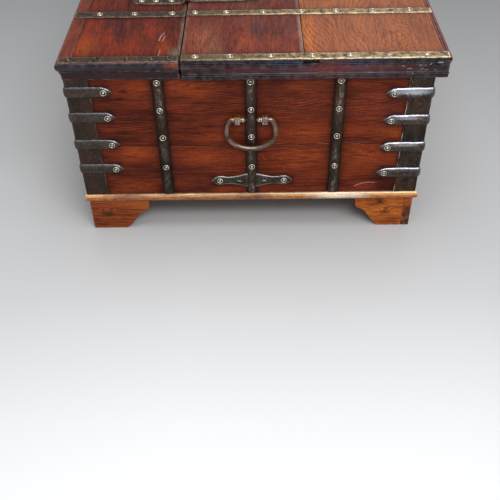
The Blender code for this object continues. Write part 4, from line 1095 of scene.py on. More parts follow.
def hasp(looks):
    """Cranked hasp with a slot, lying back over the lid at rest."""
    root = hasp_root()
    middle, outer = knuckle_spans(0, HASP_PLATE_WIDTH)
    neck = middle[0][1] / 2 - FIT
    path = [(0.001, 0, neck), (HASP_NECK_RUN, 0, neck), (HASP_SHOULDER_RUN, 0, HASP_WIDTH / 2)]
    path.append((HASP_CRANK_START, 0, HASP_WAIST / 2))
    crank_end = HASP_CRANK_START + HASP_CRANK_RUN
    for place, size in HASP_BLADE_SHARES:
        path.append((crank_end + (HASP_LENGTH - crank_end) * place, HASP_CRANK, HASP_END / 2 * size))
    knots = [(root + Y_AXIS * run + Z_AXIS * rise, half, HASP_THICKNESS) for run, rise, half in path]
    bm = bmesh.new()
    skin(bm, strap_rings(fine_stations(knots), X_AXIS, FLAT_SHARES, "hasp", 0.0004))
    bmesh.ops.recalc_face_normals(bm, faces=bm.faces)
    centre = root + Y_AXIS * HASP_REACH + Z_AXIS * HASP_CRANK
    half = Vector((HASP_SLOT[0] / 2, HASP_SLOT[1] / 2, HASP_THICKNESS * 2))
    bm = without(bm, centre - half, centre + half)
    barrel(bm, 0, middle[0][1], root, HASP_KNUCKLE)
    finish_iron("hasp", bm, looks["finger"])


def hasp_staple(looks):
    low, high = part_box("hasp_staple")
    face = high.y
    middle = Vector((0, face, (low.z + high.z) / 2))
    bm = board_mesh(Vector((low.x, face - STAPLE_PLATE_THICKNESS, low.z)), high, 0.0008, 0.004)
    reach = low.y + STAPLE_ROD + STAPLE_SPACING / 2
    radius = STAPLE_SPACING / 2
    points = [middle + Z_AXIS * radius]
    for step in range(BAIL_STEPS + 1):
        angle = math.pi * step / BAIL_STEPS
        points.append(Vector((0, reach - radius * math.sin(angle), middle.z + radius * math.cos(angle))))
    points.append(middle - Z_AXIS * radius)
    skin(bm, swept_rings(points, [STAPLE_ROD] * len(points), X_AXIS))
    finish_iron("hasp_staple", bm, looks["iron"])
    size = Vector((high.x - low.x, 0, high.z - low.z)) / 2 * STAPLE_NAIL_SHARE
    places = [
        (middle + Vector((side * size.x, -STAPLE_PLATE_THICKNESS * 0.85, lift * size.z)), -Y_AXIS, PIN_SHARE)
        for side in (-1, 1) for lift in (-1, 1)]
    nails("hasp_staple", "carcass", places, looks)


# End handles

def swept_rings(points, radii, normal, sides=BAIL_SIDES):
    """Circles along a flat path whose plane has the given normal."""
    rings = []
    for index, (point, radius) in enumerate(zip(points, radii)):
        before = points[max(index - 1, 0)]
        after = points[min(index + 1, len(points) - 1)]
        side = (after - before).normalized().cross(normal)
        rings.append([
            point + (side * math.cos(math.tau * i / sides) + normal * math.sin(math.tau * i / sides)) * radius
            for i in range(sides)])
    return rings


def quarter(centre, reach, first, last):
    """Points (y, z) of an elliptical quarter between two angles, without the first."""
    found = []
    for step in range(1, BAIL_STEPS + 1):
        angle = math.radians(first + (last - first) * step / BAIL_STEPS)
        found.append((centre[0] + reach[0] * math.sin(angle), centre[1] + reach[1] * math.cos(angle)))
    return found


def bail(label, side, looks):
    """A hand-forged bail with pear beads on the ends of its shanks."""
    node = f"{label}_bail"
    pivot = spot(side * (HALF_LENGTH + HANDLE_AXIS_OUT), END_CENTER_Y, BODY_LOW + HANDLE_RISE)
    post_low, post_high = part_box(f"{label}_handle_rear_post")
    inner, outer = post_low.y - pivot.y, post_high.y - pivot.y
    bead_tip = inner - FIT - BEAD_LENGTH
    bend = quarter(
        (BAIL_SHOULDER, -BAIL_WIDEST_DROP), (BAIL_HALF_WIDTH - BAIL_SHOULDER, BAIL_WIDEST_DROP), 0, 90)
    bend += quarter(
        (0, -BAIL_WIDEST_DROP), (BAIL_HALF_WIDTH, BAIL_DROP - BAIL_WIDEST_DROP), 90, 180)
    shank = [(inner - FIT, 0, BAIL_SHANK), (inner + (outer - inner) / 2, 0, BAIL_SHANK), (outer + FIT, 0, BAIL_SHANK)]
    half = shank + [(outer + 0.0010, 0, BAIL_RADIUS * 0.92), (BAIL_SHOULDER, 0, BAIL_RADIUS)]
    half += [(y, z, BAIL_RADIUS) for y, z in bend]
    path = half + [(-y, z, radius) for y, z, radius in reversed(half[:-1])]
    shift = seeded(node)
    points = [pivot + Vector((0, y, z)) for y, z, radius in path]
    radii = [
        radius * (1 + 0.07 * noise.noise(point * 90 + shift)) if radius > BAIL_SHANK else radius
        for point, (y, z, radius) in zip(points, path)]
    bm = bmesh.new()
    skin(bm, swept_rings(points, radii, X_AXIS))
    roughen(bm, node, IRON_STRAY * 0.6, IRON_BUMPS)
    piece(node + "_ring", bm, looks["steel"], node)
    beads = bmesh.new()
    for sign in (-1, 1):
        start = pivot + Y_AXIS * (sign * (inner - FIT))
        skin(beads, turned_rings(start, Y_AXIS * -sign, inner - FIT - bead_tip, BEAD_RADIUS, BEAD_SHARES, 24))
    piece(node + "_beads", beads, looks["bead"], None, node)


def handle_posts(label, side, looks):
    """Eye blocks on short necks; the rear one has a brass cap."""
    for place in ("front", "rear"):
        node = f"{label}_handle_{place}_post"
        low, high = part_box(node)
        head_low, head_high = low.copy(), high.copy()
        neck_low, neck_high = (low + high) / 2, (low + high) / 2
        neck_low.x, neck_high.x = low.x, high.x
        if side < 0:
            head_high.x = low.x + POST_DEPTH
            neck_low.x = head_high.x
        else:
            head_low.x = high.x - POST_DEPTH
            neck_high.x = head_low.x
        bm = board_mesh(head_low, head_high, POST_EASE, 0.0020)
        roughen(bm, node, IRON_STRAY * 0.7, IRON_BUMPS)
        piece(node + "_block", bm, looks["post"], node)
        half = Vector((0, NECK_SIZE / 2, NECK_SIZE / 2))
        neck = board_mesh(neck_low - half, neck_high + half, 0.0006, 0.002)
        piece(node + "_neck", neck, looks["iron"], None, "carcass")
        if place == "rear":
            cap_low, cap_high = head_low.copy(), head_high.copy()
            cap_low.z = head_high.z - CAP_DEEP
            cap_high.z = head_high.z + CAP_RISE
            grow = Vector((CAP_RISE / 2, CAP_RISE / 2, 0))
            cap = board_mesh(cap_low - grow, cap_high + grow, 0.0009, 0.0015)
            roughen(cap, node + "_cap", IRON_STRAY * 0.7, IRON_BUMPS)
            piece(node + "_cap", cap, looks["brass"], None, "carcass")


# Materials

def node_of(tree, kind, settings=None, **inputs):
    """A shader node; each input is a value or another node's socket."""
    item = tree.nodes.new("ShaderNode" + kind)
    for key, value in (settings or {}).items():
        setattr(item, key, value)
    for key, value in inputs.items():
        plug = item.inputs[int(key[1:])] if key[0] == "i" and key[1:].isdigit() else item.inputs[key.replace("_", " ")]
        if isinstance(value, bpy.types.NodeSocket):
            tree.links.new(value, plug)
        else:
            plug.default_value = value
    return item


def mixed(tree, factor, first, second, blend="MIX"):
    def colour(value):
        return value if isinstance(value, bpy.types.NodeSocket) else (*value, 1.0)
    item = node_of(
        tree, "MixRGB", {"blend_type": blend}, Fac=factor, Color1=colour(first), Color2=colour(second))
    return item.outputs["Color"]


def math_of(tree, operation, first, second=0.0, clamp=False):
    item = node_of(tree, "Math", {"operation": operation, "use_clamp": clamp}, i0=first, i1=second)
    return item.outputs[0]


def ramp(tree, factor, low, high, to_low=0.0, to_high=1.0):
    """Remap a value between two levels, clamped."""
    item = node_of(
        tree, "MapRange", {"clamp": True}, Value=factor, From_Min=low, From_Max=high,
        To_Min=to_low, To_Max=to_high)
    return item.outputs["Result"]


def cloud(tree, vector, scale, detail=4.0, roughness=0.6, distortion=0.0):
    item = node_of(
        tree, "TexNoise", None, Vector=vector, Scale=scale, Detail=detail,
        Roughness=roughness, Distortion=distortion)
    return item.outputs["Fac"]


def attribute(tree, name):
    return node_of(tree, "Attribute", {"attribute_name": name}).outputs["Fac"]


def placed(tree, shift, turn=(0, 0, 0), scale=(1, 1, 1)):
    coords = node_of(tree, "TexCoord").outputs["Object"]
    item = node_of(
        tree, "Mapping", None, Vector=coords, Location=shift, Rotation=turn, Scale=scale)
    return item.outputs["Vector"]


def new_look(name):
    mat = bpy.data.materials.new(name)
    mat.use_nodes = True
    return mat, mat.node_tree, mat.node_tree.nodes["Principled BSDF"]


def set_surface(tree, shader, colour, roughness, height=None, distance=0.0004, strength=0.6):
    tree.links.new(colour, shader.inputs["Base Color"])
    tree.links.new(roughness, shader.inputs["Roughness"])
    if height is not None:
        bump = node_of(tree, "Bump", None, Height=height, Distance=distance, Strength=strength)
        tree.links.new(bump.outputs["Normal"], shader.inputs["Normal"])


GRAIN_TURNS = {"x": (0, 0, 0), "y": (0, 0, math.pi / 2), "z": (0, math.pi / 2, 0)}
GRAIN_AXES = {"x": 0, "y": 1, "z": 2}
PATCH_ALONG, PATCH_ACROSS = 1.7, 0.8
STROKE_SIGHT = {"x": Vector((0, 1, 1)), "z": Vector((1, 1, 0))}


def vector_of(tree, operation, first, second=(0, 0, 0)):
    item = node_of(tree, "VectorMath", {"operation": operation}, i0=first, i1=second)
    return item.outputs["Value" if operation in ("LENGTH", "DOT_PRODUCT") else "Vector"]


def away_from(tree, here, centre, reach):
    """Distance from a centre, counted in shares of a reach along each axis."""
    off = vector_of(tree, "SUBTRACT", here, centre)
    return vector_of(tree, "LENGTH", vector_of(tree, "DIVIDE", off, reach))


def beside_line(tree, here, start, end):
    """Distance from the straight line between two points."""
    run = Vector(end) - Vector(start)
    off = vector_of(tree, "SUBTRACT", here, start)
    share = vector_of(tree, "DOT_PRODUCT", off, run / run.length_squared)
    inside = math_of(tree, "MULTIPLY", share, 1.0, True)
    along_run = node_of(tree, "VectorMath", {"operation": "SCALE"}, i0=run, Scale=inside).outputs["Vector"]
    return vector_of(tree, "LENGTH", vector_of(tree, "SUBTRACT", off, along_run))


def drawn(tree, here, colour, strokes, rough_edge, seen):
    """Scratches over a colour, each as (points, half width, colour, amount).

    They lie at any depth along the axes where seen is 0.
    """
    here = vector_of(tree, "MULTIPLY", here, seen)
    for points, half_width, tint, amount in strokes:
        points = [Vector(point) * seen for point in points]
        for start, end in zip(points, points[1:]):
            away = math_of(tree, "ADD", beside_line(tree, here, start, end), rough_edge)
            colour = mixed(tree, ramp(tree, away, half_width * 0.5, half_width, amount, 0.0), colour, tint)
    return colour


def wood(name, grain, dark, middle, light, figure=0.05, turns=190.0, contrast=1.0, sheen=0.15, polish=0.36,
         coat=0.0, fibre=(13, 170), patches=(), bands=(), faces=(), loops=(), strokes=(), below=None,
         above=None, rubbed=None, worn=0.6, stroke_face="x"):
    """Waxed wood with its grain along one axis.

    Figure lines are the contours of a slow field, which rise round each loop of (centre,
    reach, lines). Streaks and pores run along the grain, hollows and the wood beside iron get
    soiling with painted shade, and edges are worn lighter. A patch is (centre, radius, colour,
    amount), a band (axis, place, half width, colour, amount) and a face (axis its normal
    follows, colour, amount); faces count only between the heights above and below.
    """
    mat, tree, shader = new_look(name)
    shift = seeded(name) * 0.05
    coords = node_of(tree, "TexCoord")
    here = coords.outputs["Object"]
    straight = placed(tree, shift, GRAIN_TURNS[grain])

    def scaled(size):
        return node_of(tree, "Mapping", None, Vector=straight, Scale=size).outputs["Vector"]

    def times(first, second):
        return math_of(tree, "MULTIPLY", first, second)

    def plus(first, second):
        return math_of(tree, "ADD", first, second)

    def textured(tint):
        return node_of(tree, "VectorMath", {"operation": "SCALE"}, i0=tint, Scale=relief).outputs["Vector"]

    fibre_along, fibre_across = fibre
    streaks = cloud(tree, scaled((fibre_along, fibre_across, fibre_across)), 1.0, 5.0, 0.68, 0.4)
    hair = cloud(tree, scaled((fibre_along * 3, fibre_across * 3, fibre_across * 3)), 1.0, 3.0, 0.6)
    broad = cloud(tree, scaled((3.0, 12, 12)), 1.0, 4.0, 0.6, 0.5)
    blotch = cloud(tree, scaled((9, 30, 30)), 1.0, 3.0, 0.55)
    swirl = cloud(tree, scaled((2.6, 8, 8)), 1.0, 1.0, 0.4)
    parts = node_of(tree, "SeparateXYZ", None, Vector=straight)
    across = plus(times(parts.outputs["Y"], 0.8), parts.outputs["Z"])
    angle = plus(times(across, turns * math.tau), times(swirl, 22 * math.tau))
    near_loop = 0.0
    for centre, reach, lines in loops:
        off = plus(away_from(tree, here, centre, reach), ramp(tree, blotch, 0.3, 0.7, -0.22, 0.22))
        rise = ramp(tree, off, 0.0, 1.0, 1.0, 0.0)
        angle = plus(angle, times(rise, lines * math.tau))
        near_loop = plus(near_loop, rise)
    lines = math_of(tree, "SINE", plus(angle, times(hair, 3.0)))
    strength = ramp(tree, blotch, 0.35, 0.60, 0.35, 1.0)
    if loops:
        strength = plus(strength, times(near_loop, 0.45))
    shade = times(lines, times(strength, figure))
    for part, share in ((streaks, 0.30), (hair, 0.20), (broad, 0.32), (blotch, 0.18)):
        shade = plus(shade, times(part, share))
    near, far = 0.11 / contrast, 0.12 / contrast
    relief = ramp(tree, shade, 0.42, 0.58, 0.50, 1.55)
    colour = mixed(tree, ramp(tree, shade, 0.50 - near, 0.50), dark, middle)
    colour = mixed(tree, ramp(tree, shade, 0.49, 0.49 + far), colour, light)
    places = node_of(tree, "SeparateXYZ", None, Vector=here)
    scuff = cloud(tree, placed(tree, shift), 70.0, 4.0, 0.7)
    for axis, place, half_width, tint, amount in bands:
        away = math_of(tree, "ABSOLUTE", math_of(tree, "SUBTRACT", places.outputs[axis], place))
        ragged = times(math_of(tree, "SUBTRACT", plus(times(streaks, 0.5), times(scuff, 0.5)), 0.5), half_width * 2.0)
        fade = ramp(tree, plus(away, ragged), half_width * 0.3, half_width, amount, 0.0)
        colour = mixed(tree, fade, colour, textured(tint))
    unruly = math_of(tree, "SUBTRACT", plus(times(blotch, 0.6), times(streaks, 0.4)), 0.5)
    for centre, radius, tint, amount in patches:
        reach = Vector((PATCH_ACROSS, PATCH_ACROSS, PATCH_ACROSS)) * radius
        reach[GRAIN_AXES[grain]] = PATCH_ALONG * radius
        away = plus(away_from(tree, here, centre, reach), times(unruly, 2.3))
        colour = mixed(tree, ramp(tree, away, 0.1, 1.1, amount, 0.0), colour, textured(tint))
    facing = node_of(tree, "SeparateXYZ", None, Vector=coords.outputs["Normal"])
    for axis, tint, amount in faces:
        fade = ramp(tree, math_of(tree, "ABSOLUTE", facing.outputs[axis]), 0.70, 0.92, 0.0, amount)
        for limit, side in ((below, "LESS_THAN"), (above, "GREATER_THAN")):
            if limit is not None:
                fade = times(fade, math_of(tree, side, places.outputs["Z"], limit))
        colour = mixed(tree, fade, colour, textured(tint))
    pores = ramp(tree, hair, 0.30, 0.42, 0.5, 0.0)
    colour = mixed(tree, pores, colour, [c * 0.4 for c in dark])
    veins = ramp(tree, streaks, 0.28, 0.40, 0.4, 0.0)
    colour = mixed(tree, veins, colour, [c * 0.7 for c in dark])
    rubbing = times(attribute(tree, "wear"), ramp(tree, scuff, 0.42, 0.62))
    colour = mixed(tree, times(rubbing, worn), colour, rubbed or [min(1, c * 1.3 + 0.04) for c in light])
    # Soiling with painted shade in hollows and beside iron.
    dirt_and_shade = times(attribute(tree, "grime"), ramp(tree, scuff, 0.25, 0.60, 0.55, 1.0))
    colour = mixed(tree, times(dirt_and_shade, 0.85), colour, [c * 0.3 for c in dark])
    fine = cloud(tree, scaled((190, 420, 420)), 1.0, 3.0, 0.75)
    colour = node_of(
        tree, "VectorMath", {"operation": "SCALE"}, i0=colour,
        Scale=ramp(tree, fine, 0.30, 0.70, 0.72, 1.28)).outputs["Vector"]
    edge = times(math_of(tree, "SUBTRACT", scuff, 0.5), 0.0016)
    colour = drawn(tree, here, colour, strokes, edge, STROKE_SIGHT[stroke_face])
    rough = ramp(tree, plus(blotch, scuff), 0.7, 1.3, polish - 0.08, polish + 0.16)
    height = math_of(tree, "SUBTRACT", times(streaks, 0.6), times(pores, 0.5))
    set_surface(tree, shader, colour, rough, plus(height, times(scuff, 0.25)), 0.0004, 0.35)
    shader.inputs["Specular IOR Level"].default_value = sheen
    shader.inputs["Coat Weight"].default_value = coat
    shader.inputs["Coat Roughness"].default_value = 0.14
    return mat


def metal(name, dark, middle, bright, rust, metallic=0.85, roughness=0.42, worn=0.8, mottle=1.0, stretch=(1, 1, 1),
          flecks=0.0, rusty=0.7, upper=None, tints=(), painted_light_spots=(), rear_dimming=0.0, blotches=(38.0, 0.40, 0.62)):
    """Hand-forged metal: dark scale, rust and bright rubbed edges.

    Flecks are bright specks on rubbed places. Upper is (colour, amount), a painted highlight
    on faces that look up. A tint is (axis, full at, gone at, colour, amount) and each of the
    painted light spots, painted shade or painted highlight, is (centre, reach along each axis,
    colour, amount). Rear dimming is how much of the brightness is lost towards the rear, and
    blotches are the scale and the levels of the dark and middle patches.
    """
    mat, tree, shader = new_look(name)
    coords = placed(tree, seeded(name) * 0.1, scale=stretch)
    blotch = cloud(tree, coords, blotches[0], 5.0, 0.65)
    speck = cloud(tree, coords, 260.0, 4.0, 0.7)
    hammer = node_of(
        tree, "TexVoronoi", {"feature": "SMOOTH_F1"}, Vector=coords, Scale=110.0, Smoothness=0.8).outputs["Distance"]
    colour = mixed(tree, ramp(tree, blotch, *blotches[1:]), dark, middle)
    colour = mixed(tree, ramp(tree, cloud(tree, coords, 21.0, 4.0), 0.48, 0.62, 0.0, rusty), colour, rust)
    glint = ramp(tree, speck, 0.60, 0.72, 0.0, mottle)
    colour = mixed(tree, glint, colour, bright)
    wear = attribute(tree, "wear")
    rubbed = math_of(tree, "MULTIPLY", wear, ramp(tree, blotch, 0.36, 0.58, 0.35, 1.0))
    colour = mixed(tree, math_of(tree, "MULTIPLY", rubbed, worn), colour, bright)
    if flecks:
        patchy = math_of(tree, "MULTIPLY", wear, ramp(tree, blotch, 0.44, 0.56))
        fleck = math_of(tree, "MULTIPLY", patchy, ramp(tree, cloud(tree, coords, 170.0, 5.0, 0.75), 0.50, 0.62))
        colour = mixed(tree, math_of(tree, "MULTIPLY", fleck, flecks), colour, bright)
    here = node_of(tree, "TexCoord").outputs["Object"]
    places = node_of(tree, "SeparateXYZ", None, Vector=here)
    for axis, full, gone, tint, amount in tints:
        place = math_of(tree, "ADD", places.outputs[axis], ramp(tree, blotch, 0.3, 0.7, -0.02, 0.02))
        colour = mixed(tree, ramp(tree, place, full, gone, amount, 0.0), colour, tint)
    # Painted highlight on faces that look up.
    if upper:
        rise = node_of(tree, "SeparateXYZ", None, Vector=node_of(tree, "TexCoord").outputs["Normal"]).outputs["Z"]
        uneven = ramp(tree, speck, 0.35, 0.65, 0.45, 1.0)
        lit = math_of(tree, "MULTIPLY", ramp(tree, rise, 0.20, 0.62, 0.0, upper[1]), uneven)
        colour = mixed(tree, lit, colour, upper[0])
    # Painted light spots: painted shade and painted highlights.
    for centre, reach, tint, amount in painted_light_spots:
        away = math_of(tree, "ADD", away_from(tree, here, centre, reach), ramp(tree, speck, 0.38, 0.62, -0.3, 0.3))
        colour = mixed(tree, ramp(tree, away, 0.45, 1.0, amount, 0.0), colour, tint)
    # Brightness lost towards the rear.
    if rear_dimming:
        colour = mixed(tree, ramp(tree, places.outputs["Y"], -0.05, 0.15, 0.0, rear_dimming), colour, middle)
    # Soiling with painted shade in hollows and on strap flanges, which also roughens them.
    dirt_and_shade = math_of(tree, "MULTIPLY", attribute(tree, "grime"), 0.9)
    colour = mixed(tree, dirt_and_shade, colour, [c * 0.3 for c in dark])
    rough = ramp(tree, math_of(tree, "ADD", speck, blotch), 0.7, 1.3, roughness + 0.14, roughness - 0.10)
    rough = math_of(tree, "ADD", rough, math_of(tree, "MULTIPLY", dirt_and_shade, 0.3), True)
    height = math_of(tree, "ADD", math_of(tree, "MULTIPLY", hammer, 0.8), math_of(tree, "MULTIPLY", speck, 0.45))
    set_surface(tree, shader, colour, rough, height, 0.0007, 0.7)
    shader.inputs["Metallic"].default_value = metallic
    return mat


BLACK = (0.008, 0.005, 0.005)


def iron_looks():
    seam = MIDDLE_Y + LID_SEAM_Y
    painted_light_spots = []
    for side in (-1, 1):
        dent = spot(
            -HALF_LENGTH - PLATE_THICKNESS, END_CENTER_Y + side * PLATE_DENT_AWAY,
            BODY_LOW + PLATE_RISE + PLATE_DENT_RISE)
        # Painted shade in each dent, and a painted highlight just below it.
        painted_light_spots.append((dent, (0.0060, 0.0048, 0.0032), BLACK, 1.0))
        painted_light_spots.append((dent - Z_AXIS * 0.0056, (0.0060, 0.0060, 0.0013), (0.66, 0.62, 0.56), 0.8))
    # Painted highlights on the upper faces of the front right fingers.
    painted_finger_highlights = []
    for share, away, rise, tall, amount in (
            (0.865, 0.030, 0.0045, 0.0085, 0.75), (0.865, 0.056, 0.0050, 0.0070, 0.55),
            (0.645, 0.040, 0.0065, 0.0050, 0.55), (0.413, 0.036, 0.0065, 0.0040, 0.45)):
        level = BODY_LOW + BODY_HEIGHT * share + rise
        painted_finger_highlights.append((
            spot(-HALF_LENGTH - FINGER_THICKNESS, away - HALF_DEPTH, level), (0.010, 0.030, tall),
            (0.50, 0.53, 0.58), amount))
    return {
        "iron": metal(
            "forged_iron", (0.020, 0.011, 0.006), (0.058, 0.033, 0.018), (0.60, 0.54, 0.46),
            (0.056, 0.022, 0.010), 0.8, 0.42, 0.05, 0.20, (1, 1, 0.45), flecks=0.5,
            tints=(("Y", MIDDLE_Y - 0.10, MIDDLE_Y - 0.20, (0.020, 0.014, 0.010), 0.35),)),
        # The cross plate gets a painted highlight on its upper faces, and painted shade and highlights at its dents.
        "plate": metal(
            "cross_plate", (0.022, 0.016, 0.013), (0.048, 0.036, 0.030), (0.80, 0.76, 0.70),
            (0.046, 0.020, 0.011), 0.75, 0.38, 1.1, 0.2, upper=((0.60, 0.58, 0.56), 0.5), painted_light_spots=painted_light_spots),
        "sheet": metal(
            "corner_sheet", (0.013, 0.008, 0.005), (0.046, 0.029, 0.019), (0.86, 0.84, 0.80),
            (0.062, 0.024, 0.010), 0.65, 0.52, 0.8, 0.25, (1.6, 1.6, 0.5), rear_dimming=0.35),
        # The fingers get a painted bluish highlight on faces that look up and painted highlights on the front right
        # ones.
        "finger": metal(
            "finger_iron", (0.026, 0.017, 0.011), (0.066, 0.046, 0.033), (0.68, 0.69, 0.73),
            (0.060, 0.028, 0.016), 0.85, 0.28, 0.30, 0.6, upper=((0.46, 0.48, 0.56), 0.85), painted_light_spots=painted_finger_highlights, rear_dimming=0.5),
        "lid_iron": metal(
            "worn_strap", (0.052, 0.029, 0.012), (0.350, 0.225, 0.095), (0.94, 0.76, 0.46),
            (0.150, 0.066, 0.024), 0.25, 0.38, 1.1, 1.0, flecks=0.9, rusty=0.45, blotches=(95.0, 0.42, 0.56),
            tints=(("Y", seam, seam - 0.24, (0.080, 0.045, 0.021), 0.90),)),
        "old_strap": metal(
            "dark_strap", (0.014, 0.007, 0.004), (0.054, 0.028, 0.015), (0.50, 0.38, 0.27),
            (0.075, 0.028, 0.012), 0.3, 0.42, 0.40, 1.0, blotches=(95.0, 0.42, 0.58)),
        "nail": metal(
            "nail_cap", (0.030, 0.023, 0.018), (0.13, 0.10, 0.078), (0.98, 0.91, 0.76),
            (0.09, 0.06, 0.035), 0.5, 0.32, 1.5, 0.3, blotches=(190.0, 0.40, 0.62)),
        "gold_nail": metal(
            "gold_nail_cap", (0.045, 0.028, 0.015), (0.26, 0.18, 0.095), (1.0, 0.91, 0.70),
            (0.16, 0.09, 0.04), 0.45, 0.34, 1.6, 0.3, blotches=(190.0, 0.40, 0.62)),
        "old_nail": metal(
            "old_nail_cap", (0.030, 0.020, 0.014), (0.080, 0.058, 0.038), (0.30, 0.25, 0.18),
            (0.07, 0.035, 0.02), 0.7, 0.4, 0.6, 0.3),
        # Painted warm highlight on the upper faces of the bail and hinge pins.
        "steel": metal(
            "handle_steel", (0.050, 0.030, 0.024), (0.165, 0.100, 0.078), (0.66, 0.52, 0.44),
            (0.36, 0.125, 0.040), 0.8, 0.32, 0.35, 0.6, rusty=0.6,
            upper=((0.52, 0.36, 0.28), 0.55)),
        "post": metal(
            "post_steel", (0.085, 0.058, 0.050), (0.30, 0.215, 0.190), (0.84, 0.72, 0.66),
            (0.24, 0.10, 0.05), 0.75, 0.34),
        "brass": metal(
            "old_brass", (0.22, 0.12, 0.03), (0.66, 0.42, 0.12), (1.0, 0.80, 0.40),
            (0.30, 0.13, 0.04), 0.85, 0.30),
        "bead": metal(
            "bead_brass", (0.16, 0.095, 0.055), (0.48, 0.32, 0.19), (0.98, 0.84, 0.64),
            (0.30, 0.14, 0.07), 0.8, 0.30),
    }


def moulding_looks():
    lip = (0.135, 0.025, 0.010)
    tones = ((0.008, 0.0035, 0.0040), (0.020, 0.0065, 0.0080), (0.045, 0.0110, 0.0120))
    lid_tall, fixed_tall = LID_TOP - TOP_LOW, FIXED_TOP - TOP_LOW
    front_end = MIDDLE_Y - HALF_DEPTH
    lid_patches = (
        # Painted blue reflections on the top fillet.
        (spot(-HALF_LENGTH - 0.0125, -0.070, LID_TOP - 0.0045), 0.035, (0.013, 0.024, 0.052), 0.75),
        (spot(-HALF_LENGTH - 0.0125, -0.200, LID_TOP - 0.0045), 0.030, (0.014, 0.022, 0.046), 0.7),
        (Vector((-HALF_LENGTH - 0.0125, front_end - 0.004, TOP_LOW + lid_tall * 0.6)), 0.050, (0.007, 0.006, 0.008), 0.95),
        (spot(-HALF_LENGTH - 0.0125, -0.150, TOP_LOW + lid_tall * 0.5), 0.030, (0.150, 0.024, 0.024), 0.7),
        (spot(-HALF_LENGTH - 0.0125, 0.095, TOP_LOW + lid_tall * 0.5), 0.050, (0.012, 0.006, 0.008), 0.75),
        (spot(-HALF_LENGTH - 0.010, CHIP_Y, LID_TOP - 0.004), 0.012, BLACK, 1.0))
    fixed_patches = (
        (spot(-HALF_LENGTH - 0.011, FIXED_SEAM_Y + 0.012, FIXED_TOP - 0.006), 0.010, (0.24, 0.050, 0.016), 0.9),
        (spot(-HALF_LENGTH - 0.011, 0.335, FIXED_TOP - 0.012), 0.020, (0.030, 0.028, 0.040), 0.7))
    draw = random.Random("moulding scratches")
    scratches = []
    for _ in range(16):
        start = Vector((
            -HALF_LENGTH - 0.0125, MIDDLE_Y - draw.uniform(0.285, 0.375), TOP_LOW + lid_tall * draw.uniform(0.25, 0.85)))
        end = start + Vector((0, draw.uniform(-0.010, 0.010), draw.uniform(-0.003, 0.003)))
        scratches.append(((start, end), 0.0007, (0.36, 0.34, 0.34), 0.65))
    looks = {}
    # The lid's top fillet row is dark with a painted blue reflection, and the thin pale rows on both mouldings are
    # painted highlights along the beads.
    for kind, tall, rows, patches, strokes in (
            ("lid", lid_tall, (
                (0.90, 0.135, (0.008, 0.011, 0.022)), (0.53, 0.20, (0.092, 0.020, 0.020)),
                (0.30, 0.03, (0.20, 0.15, 0.15)), (0.08, 0.10, (0.030, 0.010, 0.016))), lid_patches, scratches),
            ("fixed", fixed_tall, (
                (0.84, 0.22, (0.020, 0.017, 0.027)), (0.56, 0.03, (0.16, 0.12, 0.12)),
                (0.20, 0.26, (0.030, 0.0085, 0.0105))), fixed_patches, ())):
        levels = [("Z", TOP_LOW + tall * middle, tall * half, tint, 0.85) for middle, half, tint in rows]
        for axis in ("x", "y"):
            looks[f"{kind}_moulding_{axis}"] = wood(
                f"{kind}_moulding_{axis}", axis, *tones, figure=0.02, contrast=0.7, sheen=0.20, polish=0.28,
                bands=levels, faces=(("Z", lip, 1.0),), above=TOP_LOW + tall - LIP_SKIN,
                patches=patches if axis == "y" else (),
                strokes=strokes if axis == "y" else (), rubbed=(0.34, 0.29, 0.29), worn=0.35)
    return looks


